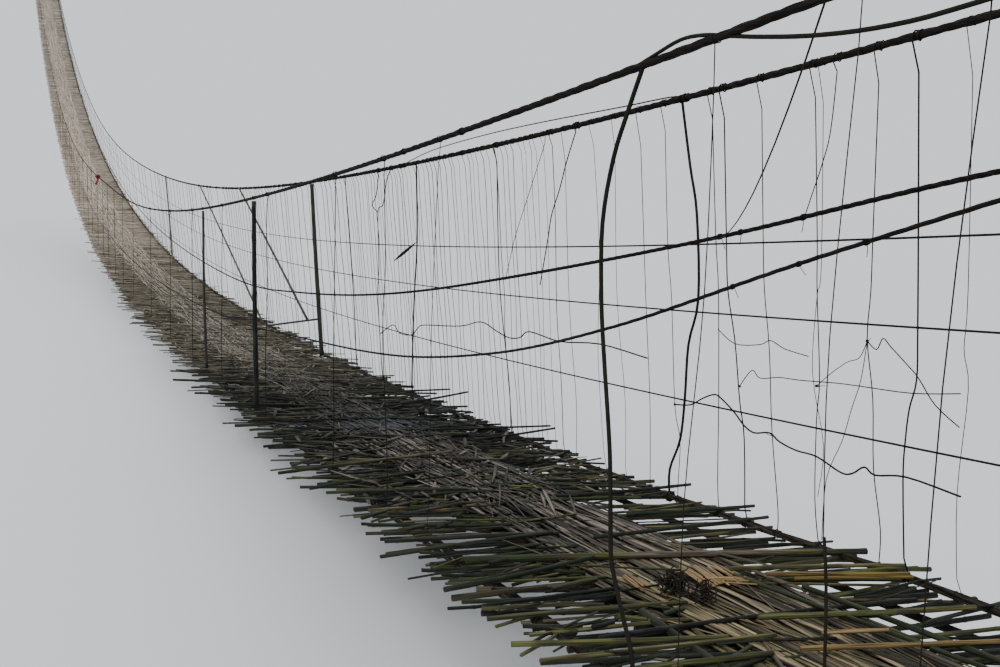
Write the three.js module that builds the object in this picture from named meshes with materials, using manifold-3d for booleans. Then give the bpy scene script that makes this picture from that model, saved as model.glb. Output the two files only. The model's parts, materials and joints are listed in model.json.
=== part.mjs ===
// Rope suspension footbridge: bamboo poles and split bamboo matting hung from ropes, at 1:10.
// X runs along the bridge from the near bank, Y to the left and Z up.
// The origin lies on the flat underside of the near sill, in the middle of the bridge.
import * as THREE from 'three';
import { mergeVertices } from 'three/addons/utils/BufferGeometryUtils.js';
import Module from 'manifold-3d';

const wasm = await Module();
wasm.setup();

// One metre of the real bridge in millimetres of the model
const METRE = 100;
// Clearance between pieces that touch
const GAP = 0.3;

// Walkway: span between the sills, its lowest point and how fast it rises from there
const SPAN = 117.3 * METRE;
const LOW_POINT = 18.3 * METRE;
const SAG_RATE = 0.0025 / METRE;
const DECK_TOP_NEAR = 0.375 * METRE;
const DECK_THICKNESS = 0.06 * METRE;
const DECK_HALF_WIDTH = 1.06 * METRE;
const DECK_SECTIONS = 8;
const WALKWAY_STEPS = [[50, 1], [117, 1.8]];
// Rise across the walkway: its left edge lies higher from the near sill on, and it evens out far off
const LEAN_AT_SILL = 0.07;
const LEAN_FULL = 0.1;
const LEAN_STARTS = [0, 6 * METRE];
const LEAN_ENDS = [30 * METRE, 50 * METRE];

// Bundles of cross poles: distance between them, width, and how far their tips stick out
const BUNDLE_PITCH_NEAR = 0.95 * METRE;
const BUNDLE_PITCH_FAR = 2.1 * METRE;
const BUNDLE_PITCH_CHANGES = 32 * METRE;
const BUNDLE_WIDTH = 0.3 * METRE;
const BUNDLE_THICKNESS = 0.045 * METRE;
const BUNDLE_REACH = 1.2 * METRE;
const BUNDLE_REACH_SPREAD = 0.1 * METRE;

// Split bamboo matting along the middle
const MAT_EDGES = [-0.37 * METRE, 0.47 * METRE];
const MAT_THICKNESS = 0.02 * METRE;
const MAT_ROOM = 2 * GAP;
const MAT_SECTIONS = 4;

// Ropes under the walkway
const DECK_ROPE_RADIUS = 0.02 * METRE;
const DECK_ROPE_Y = 0.84 * METRE;
const DECK_ROPE_DROP = 0.092 * METRE;
const DECK_ROPE_STEP = 1.5 * METRE;

// Upper cables and hand ropes, their heights over the middle of the walkway, in metres
const CABLE_RADIUS = 0.015 * METRE;
const CABLE_Y = { left: 0.88 * METRE, right: -0.885 * METRE };
const CABLE_HEIGHTS = {
  left: [[0, 2.28], [8, 2.15], [14, 2.08], [20, 2.1], [30, 2.3], [60, 2.1], [117.3, 2.3]],
  right: [[0, 2.56], [10, 2.5], [20, 2.43], [35, 2.4], [60, 2.2], [117.3, 2.4]],
};
const HAND_ROPE_RADIUS = 0.011 * METRE;
const HAND_ROPE_Y = 0.846 * METRE;
const HAND_ROPE_HEIGHTS = {
  left: [[0, 1.85], [1.3, 1.57], [2.3, 1.33], [3.3, 1.15], [4.7, 1.01], [7, 0.93], [10, 0.84],
    [20, 0.8], [60, 0.8], [100, 0.85], [113, 1.2], [117.3, 1.85]],
  right: [[0, 2.0], [1.9, 1.9], [3.8, 1.67], [6.5, 1.38], [8.9, 1.14], [11.2, 0.96], [14.1, 0.79],
    [16.7, 0.65], [20, 0.6], [60, 0.7], [100, 0.85], [112, 1.2], [117.3, 2.0]],
};
// Level ropes on the outside of the right-hand net: height over the walkway and place across, in metres
const SIDE_ROPE_RADIUS = 0.006 * METRE;
const SIDE_ROPES = { low: [0.6, -1.02], middle: [1.2, -0.98], high: [1.63, -0.958] };

// Hangers, and the thick ropes along the walkway's edges that they are tied to
const EDGE_ROPE_Y = { left: 1 * METRE, right: -1.04 * METRE };
const EDGE_ROPE_RADIUS = 0.022 * METRE;
const EDGE_ROPE_STEP = 1.5 * METRE;
const HANGER_RADIUS = 0.0065 * METRE;
const THICK_HANGER_RADIUS = 0.01 * METRE;
const NET_ENDS = [0.35, 20, 50, 84, 116.9];
const HANGER_PLACES_NEAR = {
  left: [0.75, 1, 1.3, 1.7, 2.9, 4.1, 4.9, 6, 7.2, 9.4, 10.6, 12.6, 13.8, 15.2, 16.6, 18, 19.3],
  right: [0.8, 1.1, 1.4, 1.75, 2.1, 2.46, 2.7, 3, 3.35, 3.6, 3.85, 4.6, 4.95, 5.3, 5.7, 6.1, 6.5, 6.95, 7.4,
    7.85, 8.3, 8.8, 9.3, 9.8, 10.3, 10.8, 11.4, 12, 12.5, 13.6, 14.2, 14.9, 15.7, 16.5, 17.3, 18.2, 19.2],
};
const THICK_HANGER_PLACE = { left: 2.1, right: 4.15 };
const HANGER_SPACING = { left: [0, 1.8, 2.2, 2.4], right: [0, 1.2, 1.8, 2.2] };
// Slack wire along the near part of the right-hand net
const SLACK_WIRE_HEIGHT = 0.36 * METRE;
const SLACK_WIRE_WAVE = 0.05 * METRE;
const SLACK_WIRE_RADIUS = 0.004 * METRE;
const SLACK_WIRE_STEP = 0.9 * METRE;
const SLACK_WIRE_INWARDS = 0.0205 * METRE;

// Spreader posts between walkway and cables, and two slanting braces on the right. The first brace stands
// on a tie pole, which leans from the walkway's edge against a post
const SPREADER_RADIUS = 0.025 * METRE;
const PROP_LIFT = 0.15;
const PROP_FOOT_Y = { left: 0.93 * METRE, right: -0.96 * METRE };
const SPREADER_PLACES = { left: [8.55, 11.6], right: [13.05, 29.8] };
const BRACE_RADIUS = 0.02 * METRE;
const BRACE_FOOT_PLACES = [13.8 * METRE, 17.1 * METRE];
const BRACE_HEAD_PLACES = [18.3 * METRE, 23.1 * METRE];
const BRACE_HEAD_Y = -0.847 * METRE;
const TIE_POLE_RADIUS = 0.018 * METRE;
const TIE_POLE_FOOT_PLACE = 16.8 * METRE;
const TIE_POLE_HEIGHT = 0.55 * METRE;

// Portals, sills and anchor logs
const POST_Y = 1.2 * METRE;
const POST_RADIUS_TOP = 0.09 * METRE;
const POST_RADIUS_FOOT = 0.11 * METRE;
const HEAD_BEAM_RADIUS = 0.09 * METRE;
const HEAD_BEAM_HALF_LENGTH = 1.5 * METRE;
const SILL_HALF_LENGTH = 1.06 * METRE;
const SILL_PROFILE = [[-0.15, 0], [0.15, 0], [0.15, 0.16], [0.09, 0.25], [-0.09, 0.25], [-0.15, 0.16]];
const SILL_HEIGHT = 0.25 * METRE;
const SILL_TOP_HALF = 0.09 * METRE;
const ANCHOR_DISTANCE = 5 * METRE;
const ANCHOR_RADIUS = 0.16 * METRE;
const ANCHOR_HALF_LENGTH = 1.5 * METRE;

// Stations along the ropes: close together at the near bank, wider apart beyond
const STATION_STEPS = [[16, 1], [40, 2], [115.9, 3.45]];
const FLARE = 0.5 * METRE;

const FINISHES = {
  pole: { color: 0x55503a, roughness: 0.85 },
  matting: { color: 0x8d8172, roughness: 0.9 },
  rope: { color: 0x211d17, roughness: 0.9 },
  wire: { color: 0x1c211b, roughness: 0.75 },
  log: { color: 0x5f5344, roughness: 0.9 },
};

const bridge = new THREE.Group();

// Height of the walkway's top, and its lean, at a distance from the near sill
function deckHeight(x) {
  return DECK_TOP_NEAR + SAG_RATE * ((x - LOW_POINT) ** 2 - LOW_POINT ** 2);
}

function deckTop(x, y) {
  const grown = THREE.MathUtils.smoothstep(x, ...LEAN_STARTS);
  const lean = THREE.MathUtils.lerp(LEAN_AT_SILL, LEAN_FULL, grown);
  const left = 1 - THREE.MathUtils.smoothstep(x, ...LEAN_ENDS);
  return deckHeight(x) + lean * left * y;
}

// Smooth curve through [distance, height] pairs in metres, returned in millimetres
function heightOver(pairs, x) {
  const place = x / METRE;
  const last = pairs.length - 1;
  let index = 0;
  while (index < last - 1 && place > pairs[index + 1][0]) index += 1;
  const slope = (at) => {
    const before = pairs[Math.max(at - 1, 0)];
    const after = pairs[Math.min(at + 1, last)];
    return (after[1] - before[1]) / (after[0] - before[0]);
  };
  const length = pairs[index + 1][0] - pairs[index][0];
  const t = (place - pairs[index][0]) / length;
  const start = (1 + 2 * t) * (1 - t) ** 2 * pairs[index][1] + t * (1 - t) ** 2 * length * slope(index);
  const end = t * t * (3 - 2 * t) * pairs[index + 1][1] - t * t * (1 - t) * length * slope(index + 1);
  return (start + end) * METRE;
}

// A path that has its steps exactly at the given points
class StationPath extends THREE.Curve {
  constructor(points) {
    super();
    this.points = points;
  }

  getPoint(t, target = new THREE.Vector3()) {
    const place = t * (this.points.length - 1);
    const index = Math.min(Math.floor(place), this.points.length - 2);
    return target.lerpVectors(this.points[index], this.points[index + 1], place - index);
  }

  getUtoTmapping(u) {
    return u;
  }
}

function ropeGeometry(points, radius, sides) {
  const corners = [];
  for (let corner = 0; corner < sides; corner += 1) {
    const turn = (corner / sides) * 2 * Math.PI + Math.PI / 4;
    corners.push(new THREE.Vector2(radius * Math.cos(turn), radius * Math.sin(turn)));
  }
  return new THREE.ExtrudeGeometry(new THREE.Shape(corners), {
    steps: points.length - 1,
    extrudePath: new StationPath(points),
    bevelEnabled: false,
  });
}

function solidOf(geometry) {
  const bare = geometry.clone();
  bare.deleteAttribute('normal');
  bare.deleteAttribute('uv');
  const merged = mergeVertices(bare, 1e-4);
  return new wasm.Manifold(new wasm.Mesh({
    numProp: 3,
    vertProperties: new Float32Array(merged.attributes.position.array),
    triVerts: new Uint32Array(merged.index.array),
  }));
}

function geometryOf(solid) {
  const mesh = solid.getMesh();
  const geometry = new THREE.BufferGeometry();
  geometry.setAttribute('position', new THREE.BufferAttribute(mesh.vertProperties, 3));
  geometry.setIndex(new THREE.BufferAttribute(mesh.triVerts, 1));
  geometry.computeVertexNormals();
  return geometry;
}

function joined(geometries) {
  return geometries.map(solidOf).reduce((whole, piece) => whole.add(piece));
}

function addPiece(name, geometry, finish) {
  const material = new THREE.MeshStandardMaterial({ ...FINISHES[finish], metalness: 0 });
  const mesh = new THREE.Mesh(geometry, material);
  mesh.name = name;
  bridge.add(mesh);
}

function evenSteps(start, end, step) {
  const count = Math.max(1, Math.round((end - start) / step));
  return Array.from({ length: count + 1 }, (_, index) => start + ((end - start) * index) / count);
}

// Distances of the rope stations from the near sill
function stationList(start, steps, end) {
  const list = [];
  let place = start / METRE;
  for (const [limit, step] of steps) {
    while (place < limit - step / 2) {
      list.push(place * METRE);
      place += step;
    }
  }
  list.push(end);
  return list;
}

const STATIONS = stationList(FLARE, STATION_STEPS, SPAN - FLARE);
const WALKWAY_STATIONS = stationList(0, WALKWAY_STEPS, SPAN - 0.03 * METRE);

// Height at x of a rope that runs straight from station to station
function chordHeight(heightAt, x) {
  let index = 0;
  while (index < STATIONS.length - 2 && x > STATIONS[index + 1]) index += 1;
  const share = (x - STATIONS[index]) / (STATIONS[index + 1] - STATIONS[index]);
  return THREE.MathUtils.lerp(heightAt(STATIONS[index]), heightAt(STATIONS[index + 1]), share);
}

// A slab bent along the walkway, through the given distances and rows across it
function bentSlab(stations, rows, thickness, lift) {
  const along = stations.length - 1;
  const across = rows.length - 1;
  const slab = new THREE.BoxGeometry(along, across, thickness, along, across, 1);
  slab.translate(along / 2, across / 2, lift - thickness / 2);
  const place = slab.attributes.position;
  for (let index = 0; index < place.count; index += 1) {
    const x = stations[Math.round(place.getX(index))];
    const y = rows[Math.round(place.getY(index))];
    place.setXYZ(index, x, y, place.getZ(index) + deckTop(x, y));
  }
  return slab;
}

// The walkway's stations divided into sections, with a gap between one section and the next
function sectionsOf(count, first) {
  const size = (WALKWAY_STATIONS.length - 1) / count;
  return Array.from({ length: count }, (_, index) => {
    const from = Math.round(index * size);
    const to = Math.round((index + 1) * size);
    const stations = WALKWAY_STATIONS.slice(from, to + 1);
    if (index === 0) stations[0] = first;
    if (index < count - 1) stations[stations.length - 1] -= GAP;
    return stations;
  });
}

// Ends of the bridge: where each sill lies and how high its underside is
const FAR_ROPE_HEIGHT = deckHeight(SPAN - SILL_TOP_HALF) - DECK_ROPE_DROP;
const ENDS = {
  near: { x: 0, base: 0, outward: -1 },
  far: { x: SPAN, base: FAR_ROPE_HEIGHT - 1.15 * DECK_ROPE_RADIUS - GAP - SILL_HEIGHT, outward: 1 },
};

function cableHeight(side) {
  return (x) => deckHeight(x) + heightOver(CABLE_HEIGHTS[side], x);
}

function handRopeHeight(side) {
  return (x) => deckHeight(x) + heightOver(HAND_ROPE_HEIGHTS[side], x);
}

// Axis height of the head beam under a cable
function headBeamHeight(end, side) {
  return cableHeight(side)(ENDS[end].x) - CABLE_RADIUS - HEAD_BEAM_RADIUS - GAP;
}

// Axis height of the head beam, which slants from one cable to the other
function beamHeightAt(end, y) {
  const left = headBeamHeight(end, 'left');
  const rise = beamRise(end);
  return left + rise * (y - CABLE_Y.left);
}

function beamRise(end) {
  const drop = headBeamHeight(end, 'left') - headBeamHeight(end, 'right');
  return drop / (CABLE_Y.left - CABLE_Y.right);
}

function postHeight(end, y) {
  const lowest = Math.min(beamHeightAt(end, y - POST_RADIUS_TOP), beamHeightAt(end, y + POST_RADIUS_TOP));
  return lowest - HEAD_BEAM_RADIUS - 2 * GAP - ENDS[end].base;
}

function postRadiusAt(end, y, z) {
  const share = (z - ENDS[end].base) / postHeight(end, y);
  return THREE.MathUtils.lerp(POST_RADIUS_FOOT, POST_RADIUS_TOP, share);
}

function addPortal(end) {
  const { x, base, outward } = ENDS[end];
  const profile = new THREE.Shape(SILL_PROFILE.map(([across, up]) => (
    new THREE.Vector2(across * METRE, up * METRE))));
  const sill = new THREE.ExtrudeGeometry(profile, { depth: 2 * SILL_HALF_LENGTH, bevelEnabled: false });
  sill.rotateX(Math.PI / 2);
  sill.translate(x, SILL_HALF_LENGTH, base);
  const lean = end === 'near' ? LEAN_AT_SILL : 0;
  const corners = sill.attributes.position;
  for (let index = 0; index < corners.count; index += 1) {
    const isTop = corners.getZ(index) > base + SILL_HEIGHT / 2;
    if (isTop) corners.setZ(index, corners.getZ(index) + lean * corners.getY(index));
  }
  addPiece(`${end}_sill`, sill, 'log');

  const beam = new THREE.CylinderGeometry(HEAD_BEAM_RADIUS, HEAD_BEAM_RADIUS, 2 * HEAD_BEAM_HALF_LENGTH, 12);
  beam.rotateX(Math.atan(beamRise(end)));
  beam.translate(x, 0, beamHeightAt(end, 0));
  addPiece(`${end}_head_beam`, beam, 'log');

  for (const [side, y] of [['left', POST_Y], ['right', -POST_Y]]) {
    const height = postHeight(end, y);
    const post = new THREE.CylinderGeometry(POST_RADIUS_TOP, POST_RADIUS_FOOT, height, 12);
    post.rotateX(Math.PI / 2);
    post.translate(x, y, base + height / 2);
    addPiece(`${end}_post_${side}`, post, 'log');
  }

  const anchor = new THREE.CylinderGeometry(ANCHOR_RADIUS, ANCHOR_RADIUS, 2 * ANCHOR_HALF_LENGTH, 12);
  anchor.translate(x + outward * ANCHOR_DISTANCE, 0, base + ANCHOR_RADIUS);
  addPiece(`${end}_anchor_log`, anchor, 'log');
}

// Last point of a rope that is tied to a log: just short of its surface
function tiedEnd(from, axis, radius) {
  const reach = from.clone().sub(axis).setLength(radius + GAP);
  return axis.clone().add(reach);
}

// Last point of a rope that is tied to a post: just short of its surface, also where it comes in at a slant
function postTie(end, from, axis, radius) {
  const way = from.clone().sub(axis);
  const flat = Math.hypot(way.x, way.y) / way.length();
  const rise = Math.abs(way.z) / way.length();
  const reach = (postRadiusAt(end, axis.y, axis.z) + GAP + radius * rise) / flat;
  return axis.clone().add(way.setLength(reach));
}

// Points of a cable bending over a head beam, from its main span to its backstay
function overBeam(end, side) {
  const { x, outward } = ENDS[end];
  const y = CABLE_Y[side];
  const centre = new THREE.Vector3(x, y, headBeamHeight(end, side));
  const radius = HEAD_BEAM_RADIUS + CABLE_RADIUS + GAP;
  const first = end === 'near' ? STATIONS[0] : STATIONS[STATIONS.length - 1];
  const anchor = new THREE.Vector3(x + outward * ANCHOR_DISTANCE, y, ENDS[end].base + ANCHOR_RADIUS);
  const spanAngle = Math.atan2(centre.z + radius - cableHeight(side)(first), Math.abs(first - x));
  const stayAngle = Math.atan2(centre.z + radius - anchor.z, ANCHOR_DISTANCE);
  const points = [];
  for (const angle of evenSteps(spanAngle, -stayAngle, 0.2 * Math.sign(-stayAngle - spanAngle))) {
    const along = -outward * radius * Math.sin(angle);
    points.push(new THREE.Vector3(x + along, y, centre.z + radius * Math.cos(angle)));
  }
  points.push(tiedEnd(points[points.length - 1], anchor, ANCHOR_RADIUS + CABLE_RADIUS / 2));
  return points;
}

function addCable(side) {
  const spanPoints = STATIONS.map((x) => new THREE.Vector3(x, CABLE_Y[side], cableHeight(side)(x)));
  const points = [...overBeam('near', side).reverse(), ...spanPoints, ...overBeam('far', side)];
  addPiece(`upper_cable_${side}`, ropeGeometry(points, CABLE_RADIUS, 6), 'rope');
}

// A rope along the span at one side that flares out to the portal posts and is tied there
function addSpanRope(name, y, heightAt, radius, sides, finish) {
  const points = STATIONS.map((x) => new THREE.Vector3(x, y, heightAt(x)));
  for (const end of ['near', 'far']) {
    const axis = new THREE.Vector3(ENDS[end].x, Math.sign(y) * POST_Y, heightAt(ENDS[end].x));
    const from = end === 'near' ? points[0] : points[points.length - 1];
    const tie = postTie(end, from, axis, radius);
    if (end === 'near') points.unshift(tie);
    else points.push(tie);
  }
  addPiece(name, ropeGeometry(points, radius, sides), finish);
}

function addDeckRope(side, y) {
  const past = SILL_TOP_HALF + 0.03 * METRE;
  const ropeHeight = (x) => deckTop(x, y) - DECK_ROPE_DROP;
  const sillRope = SILL_HEIGHT + LEAN_AT_SILL * y + DECK_ROPE_RADIUS + GAP;
  const points = evenSteps(SILL_TOP_HALF, SPAN - SILL_TOP_HALF, DECK_ROPE_STEP)
    .map((x) => new THREE.Vector3(x, y, ropeHeight(x)));
  points.unshift(new THREE.Vector3(-past, y, sillRope + GAP));
  points.push(new THREE.Vector3(SPAN + past, y, ropeHeight(SPAN - SILL_TOP_HALF) + 0.04 * METRE));
  for (const end of ['near', 'far']) {
    const { x, base, outward } = ENDS[end];
    const axis = new THREE.Vector3(x + outward * ANCHOR_DISTANCE, y, base + ANCHOR_RADIUS);
    const from = end === 'near' ? points[0] : points[points.length - 1];
    const tie = tiedEnd(from, axis, ANCHOR_RADIUS);
    if (end === 'near') points.unshift(tie);
    else points.push(tie);
  }
  addPiece(`deck_rope_${side}`, ropeGeometry(points, DECK_ROPE_RADIUS, 5), 'rope');
}

// Places of the pole bundles along one deck section
function bundlePlaces(start, end) {
  const pitch = start < BUNDLE_PITCH_CHANGES ? BUNDLE_PITCH_NEAR : BUNDLE_PITCH_FAR;
  const places = evenSteps(start, end, pitch);
  return places.slice(0, -1).map((place, index) => (place + places[index + 1]) / 2);
}

function addDeckSection(number, stations) {
  const rows = [-DECK_HALF_WIDTH, ...MAT_EDGES, DECK_HALF_WIDTH];
  const pieces = [bentSlab(stations, rows, DECK_THICKNESS, 0)];
  bundlePlaces(stations[0], stations[stations.length - 1]).forEach((middle, index) => {
    const left = BUNDLE_REACH + BUNDLE_REACH_SPREAD * Math.sin(4.1 * index + number);
    const right = BUNDLE_REACH + BUNDLE_REACH_SPREAD * Math.sin(2.7 * index + 2 * number);
    const reach = [middle - BUNDLE_WIDTH / 2, middle + BUNDLE_WIDTH / 2];
    pieces.push(bentSlab(reach, [-right, left], BUNDLE_THICKNESS, (BUNDLE_THICKNESS - DECK_THICKNESS) / 2));
  });
  addPiece(`deck_section_${number}`, geometryOf(joined(pieces)), 'pole');
}

function addDeck() {
  sectionsOf(DECK_SECTIONS, -0.12 * METRE).forEach((stations, index) => {
    addDeckSection(index + 1, stations);
  });
}

function addMatting() {
  sectionsOf(MAT_SECTIONS, 0.05 * METRE).forEach((stations, index) => {
    const mat = bentSlab(stations, MAT_EDGES, MAT_THICKNESS, MAT_THICKNESS + MAT_ROOM);
    addPiece(`walkway_mat_${index + 1}`, mat, 'matting');
  });
}

// A hanger slants inwards from the edge rope to the upper cable
function hangerGeometry(x, side, radius) {
  const edge = EDGE_ROPE_Y[side];
  const foot = new THREE.Vector3(x, edge, deckTop(x, edge) + GAP + EDGE_ROPE_RADIUS);
  const cableUnderside = chordHeight(cableHeight(side), x) - CABLE_RADIUS;
  const head = new THREE.Vector3(x, CABLE_Y[side], cableUnderside - GAP);
  return ropeGeometry([foot, head], radius, 4);
}

function edgeRopeGeometry(start, end, y) {
  const points = evenSteps(start, end, EDGE_ROPE_STEP)
    .map((x) => new THREE.Vector3(x, y, deckTop(x, y) + GAP + EDGE_ROPE_RADIUS));
  return ropeGeometry(points, EDGE_ROPE_RADIUS, 5);
}

function slackWireGeometry(start, end) {
  const y = EDGE_ROPE_Y.right + SLACK_WIRE_INWARDS;
  const points = evenSteps(start, end, SLACK_WIRE_STEP).map((x, index) => (
    new THREE.Vector3(x, y, deckTop(x, y) + SLACK_WIRE_HEIGHT + SLACK_WIRE_WAVE * Math.sin(2.2 * index))));
  return ropeGeometry(points, SLACK_WIRE_RADIUS, 4);
}

function addNetSection(side, index) {
  const start = NET_ENDS[index] * METRE;
  const end = NET_ENDS[index + 1] * METRE - (index < NET_ENDS.length - 2 ? GAP : 0);
  const pieces = [edgeRopeGeometry(start, end, EDGE_ROPE_Y[side])];
  if (index === 0) {
    for (const place of HANGER_PLACES_NEAR[side]) {
      pieces.push(hangerGeometry(place * METRE, side, HANGER_RADIUS));
    }
    pieces.push(hangerGeometry(THICK_HANGER_PLACE[side] * METRE, side, THICK_HANGER_RADIUS));
    if (side === 'right') pieces.push(slackWireGeometry(start, end));
  } else {
    const places = evenSteps(start + METRE, end - METRE, HANGER_SPACING[side][index] * METRE);
    for (const place of places) pieces.push(hangerGeometry(place, side, HANGER_RADIUS));
  }
  addPiece(`hanger_net_${side}_${index + 1}`, geometryOf(joined(pieces)), 'wire');
}

// Ends of a spreader post, which stands on the walkway's edge under the upper cable
function spreaderEnds(side, place) {
  const x = place * METRE;
  const foot = new THREE.Vector3(x, PROP_FOOT_Y[side], deckTop(x, PROP_FOOT_Y[side]));
  foot.z += GAP + PROP_LIFT * SPREADER_RADIUS;
  const cableUnderside = chordHeight(cableHeight(side), x) - CABLE_RADIUS;
  const head = new THREE.Vector3(x, CABLE_Y[side], cableUnderside - GAP - PROP_LIFT * SPREADER_RADIUS);
  return [foot, head];
}

function addSpreader(name, side, place) {
  addPiece(name, ropeGeometry(spreaderEnds(side, place), SPREADER_RADIUS, 8), 'pole');
}

// End of a brace, on the inner side of the right-hand upper cable
function braceHead(x) {
  return new THREE.Vector3(x, BRACE_HEAD_Y, chordHeight(cableHeight('right'), x));
}

// A brace that stands on a tie pole, with the tie pole, as one piece
function addTiedBrace(name, footX, headX) {
  const [postFoot, postHead] = spreaderEnds('right', SPREADER_PLACES.right[0]);
  const high = postFoot.clone().lerp(postHead, TIE_POLE_HEIGHT / (postHead.z - postFoot.z));
  high.x += SPREADER_RADIUS + GAP + PROP_LIFT * TIE_POLE_RADIUS;
  const low = new THREE.Vector3(TIE_POLE_FOOT_PLACE, PROP_FOOT_Y.right, 0);
  low.z = deckTop(low.x, low.y) + GAP + TIE_POLE_RADIUS;
  const foot = low.clone().lerp(high, (footX - low.x) / (high.x - low.x));
  const tiePole = ropeGeometry([low, high], TIE_POLE_RADIUS, 8);
  const brace = ropeGeometry([foot, braceHead(headX)], BRACE_RADIUS, 8);
  addPiece(name, geometryOf(joined([tiePole, brace])), 'pole');
}

// A brace that stands on the walkway's right edge
function addBrace(name, footX, headX) {
  const head = braceHead(headX);
  const foot = new THREE.Vector3(footX, PROP_FOOT_Y.right, deckTop(footX, PROP_FOOT_Y.right));
  const slant = (headX - footX) / foot.distanceTo(head);
  foot.z += GAP + BRACE_RADIUS * (slant + PROP_LIFT);
  addPiece(name, ropeGeometry([foot, head], BRACE_RADIUS, 8), 'pole');
}

addPortal('near');
addPortal('far');
addCable('left');
addCable('right');
for (const side of ['left', 'right']) {
  const y = side === 'left' ? HAND_ROPE_Y : -HAND_ROPE_Y;
  addSpanRope(`hand_rope_${side}`, y, handRopeHeight(side), HAND_ROPE_RADIUS, 5, 'rope');
  addDeckRope(side, Math.sign(y) * DECK_ROPE_Y);
}
for (const [level, [height, across]] of Object.entries(SIDE_ROPES)) {
  const heightAt = (x) => deckHeight(x) + height * METRE;
  addSpanRope(`side_rope_${level}`, across * METRE, heightAt, SIDE_ROPE_RADIUS, 4, 'wire');
}
addDeck();
addMatting();
for (const side of ['left', 'right']) {
  for (let index = 0; index < NET_ENDS.length - 1; index += 1) addNetSection(side, index);
  SPREADER_PLACES[side].forEach((place, index) => {
    addSpreader(`spreader_post_${side}_${index + 1}`, side, place);
  });
}
addTiedBrace('brace_right_1', BRACE_FOOT_PLACES[0], BRACE_HEAD_PLACES[0]);
addBrace('brace_right_2', BRACE_FOOT_PLACES[1], BRACE_HEAD_PLACES[1]);

export default bridge;
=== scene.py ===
import json
import math
import random

import bpy
from bpy.props import FloatProperty, FloatVectorProperty, IntProperty, PointerProperty
from bpy.types import Operator, Panel, PropertyGroup
from mathutils import Euler, Matrix, Vector, noise

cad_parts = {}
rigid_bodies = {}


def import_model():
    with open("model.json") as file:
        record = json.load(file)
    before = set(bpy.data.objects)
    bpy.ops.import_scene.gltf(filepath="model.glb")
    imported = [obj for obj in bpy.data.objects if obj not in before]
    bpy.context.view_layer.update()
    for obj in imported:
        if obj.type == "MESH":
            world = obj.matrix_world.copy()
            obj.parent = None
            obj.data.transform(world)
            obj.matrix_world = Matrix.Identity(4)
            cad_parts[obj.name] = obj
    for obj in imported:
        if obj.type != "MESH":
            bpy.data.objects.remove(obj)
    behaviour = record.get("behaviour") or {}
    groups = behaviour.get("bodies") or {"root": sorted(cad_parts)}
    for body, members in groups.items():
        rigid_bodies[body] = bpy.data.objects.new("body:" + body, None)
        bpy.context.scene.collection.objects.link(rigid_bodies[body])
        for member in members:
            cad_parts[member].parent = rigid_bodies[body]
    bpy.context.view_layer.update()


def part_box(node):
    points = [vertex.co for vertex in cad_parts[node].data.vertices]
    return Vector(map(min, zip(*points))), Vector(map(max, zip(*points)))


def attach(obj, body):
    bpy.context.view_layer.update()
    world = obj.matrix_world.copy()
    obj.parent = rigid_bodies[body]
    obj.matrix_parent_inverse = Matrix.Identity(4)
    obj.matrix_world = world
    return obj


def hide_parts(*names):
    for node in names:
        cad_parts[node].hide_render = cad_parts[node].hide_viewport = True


bl_info = {
    "name": "Rope Suspension Footbridge",
    "version": (1, 0, 0),
    "blender": (4, 5, 0),
    "location": "View3D > Sidebar > Footbridge",
    "description": "Dresses a 1:10 rope footbridge with bamboo poles, split matting, ropes and wires",
    "category": "Object",
}

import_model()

# One metre of the real bridge in this 1:10 model. Sizes and places below are in real metres
METRE = 0.1
SIDES = ("left", "right")
SIGN = {"left": 1, "right": -1}

# Walkway
SPAN = 117.3
# The near stretch is made piece by piece, the next one more simply, and the rest coarsely
NEAR_END = 22.2
MIDDLE_END = 40
# The walkway's middle is a parabola round its low point
LOW_POINT = 18.3
SAG_RATE = 0.0025
DECK_TOP_NEAR = 0.375
# The rise for each metre to the left, at the sill and further out, and where it grows and fades again
LEAN_AT_SILL = 0.07
LEAN_FULL = 0.1
LEAN_STARTS = (0, 6)
LEAN_ENDS = (30, 50)
MAT_EDGES = (-0.37, 0.47)
DECK_ROPE_Y = 0.84
DECK_ROPE_DROP = 0.092
DECK_ROPE_RADIUS = 0.02
EDGE_Y = {"left": 0.97, "right": -1.04}
EDGE_LIFT = {"left": -0.03, "right": 0.0}
EDGE_WANDER = 0.04
EDGE_RADIUS = {"left": 0.014, "right": 0.022}
# Strips of the matting are rolled by up to this angle
STRIP_ROLL = 0.12
# A bluish stain on the matting: distance and place across, then how far it reaches
STAIN_PLACE = (7.5, -0.2)
STAIN_REACH = 0.85

# Upper cables and hand ropes, as (distance, height over the middle of the walkway)
CABLE_Y = {"left": 0.88, "right": -0.885}
CABLE_HEIGHTS = {
    "left": ((0, 2.28), (8, 2.15), (14, 2.08), (20, 2.1), (30, 2.3), (60, 2.1), (117.3, 2.3)),
    "right": ((0, 2.56), (10, 2.5), (20, 2.43), (35, 2.4), (60, 2.2), (117.3, 2.4)),
}
HAND_ROPE_Y = 0.846
CABLE_RADIUS = {"left": 0.0147, "right": 0.0205}
HAND_ROPE_RADIUS = {"left": 0.0068, "right": 0.0138}
HAND_ROPE_HEIGHTS = {
    "left": ((0, 1.85), (1.3, 1.57), (2.3, 1.33), (3.3, 1.15), (4.7, 1.01), (7, 0.93), (10, 0.84),
             (20, 0.8), (60, 0.8), (100, 0.85), (113, 1.2), (117.3, 1.85)),
    "right": ((0, 2.0), (1.9, 1.9), (3.8, 1.67), (6.5, 1.38), (8.9, 1.14), (11.2, 0.96), (14.1, 0.79),
              (16.7, 0.65), (20, 0.6), (60, 0.7), (100, 0.85), (112, 1.2), (117.3, 2.0)),
}
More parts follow.
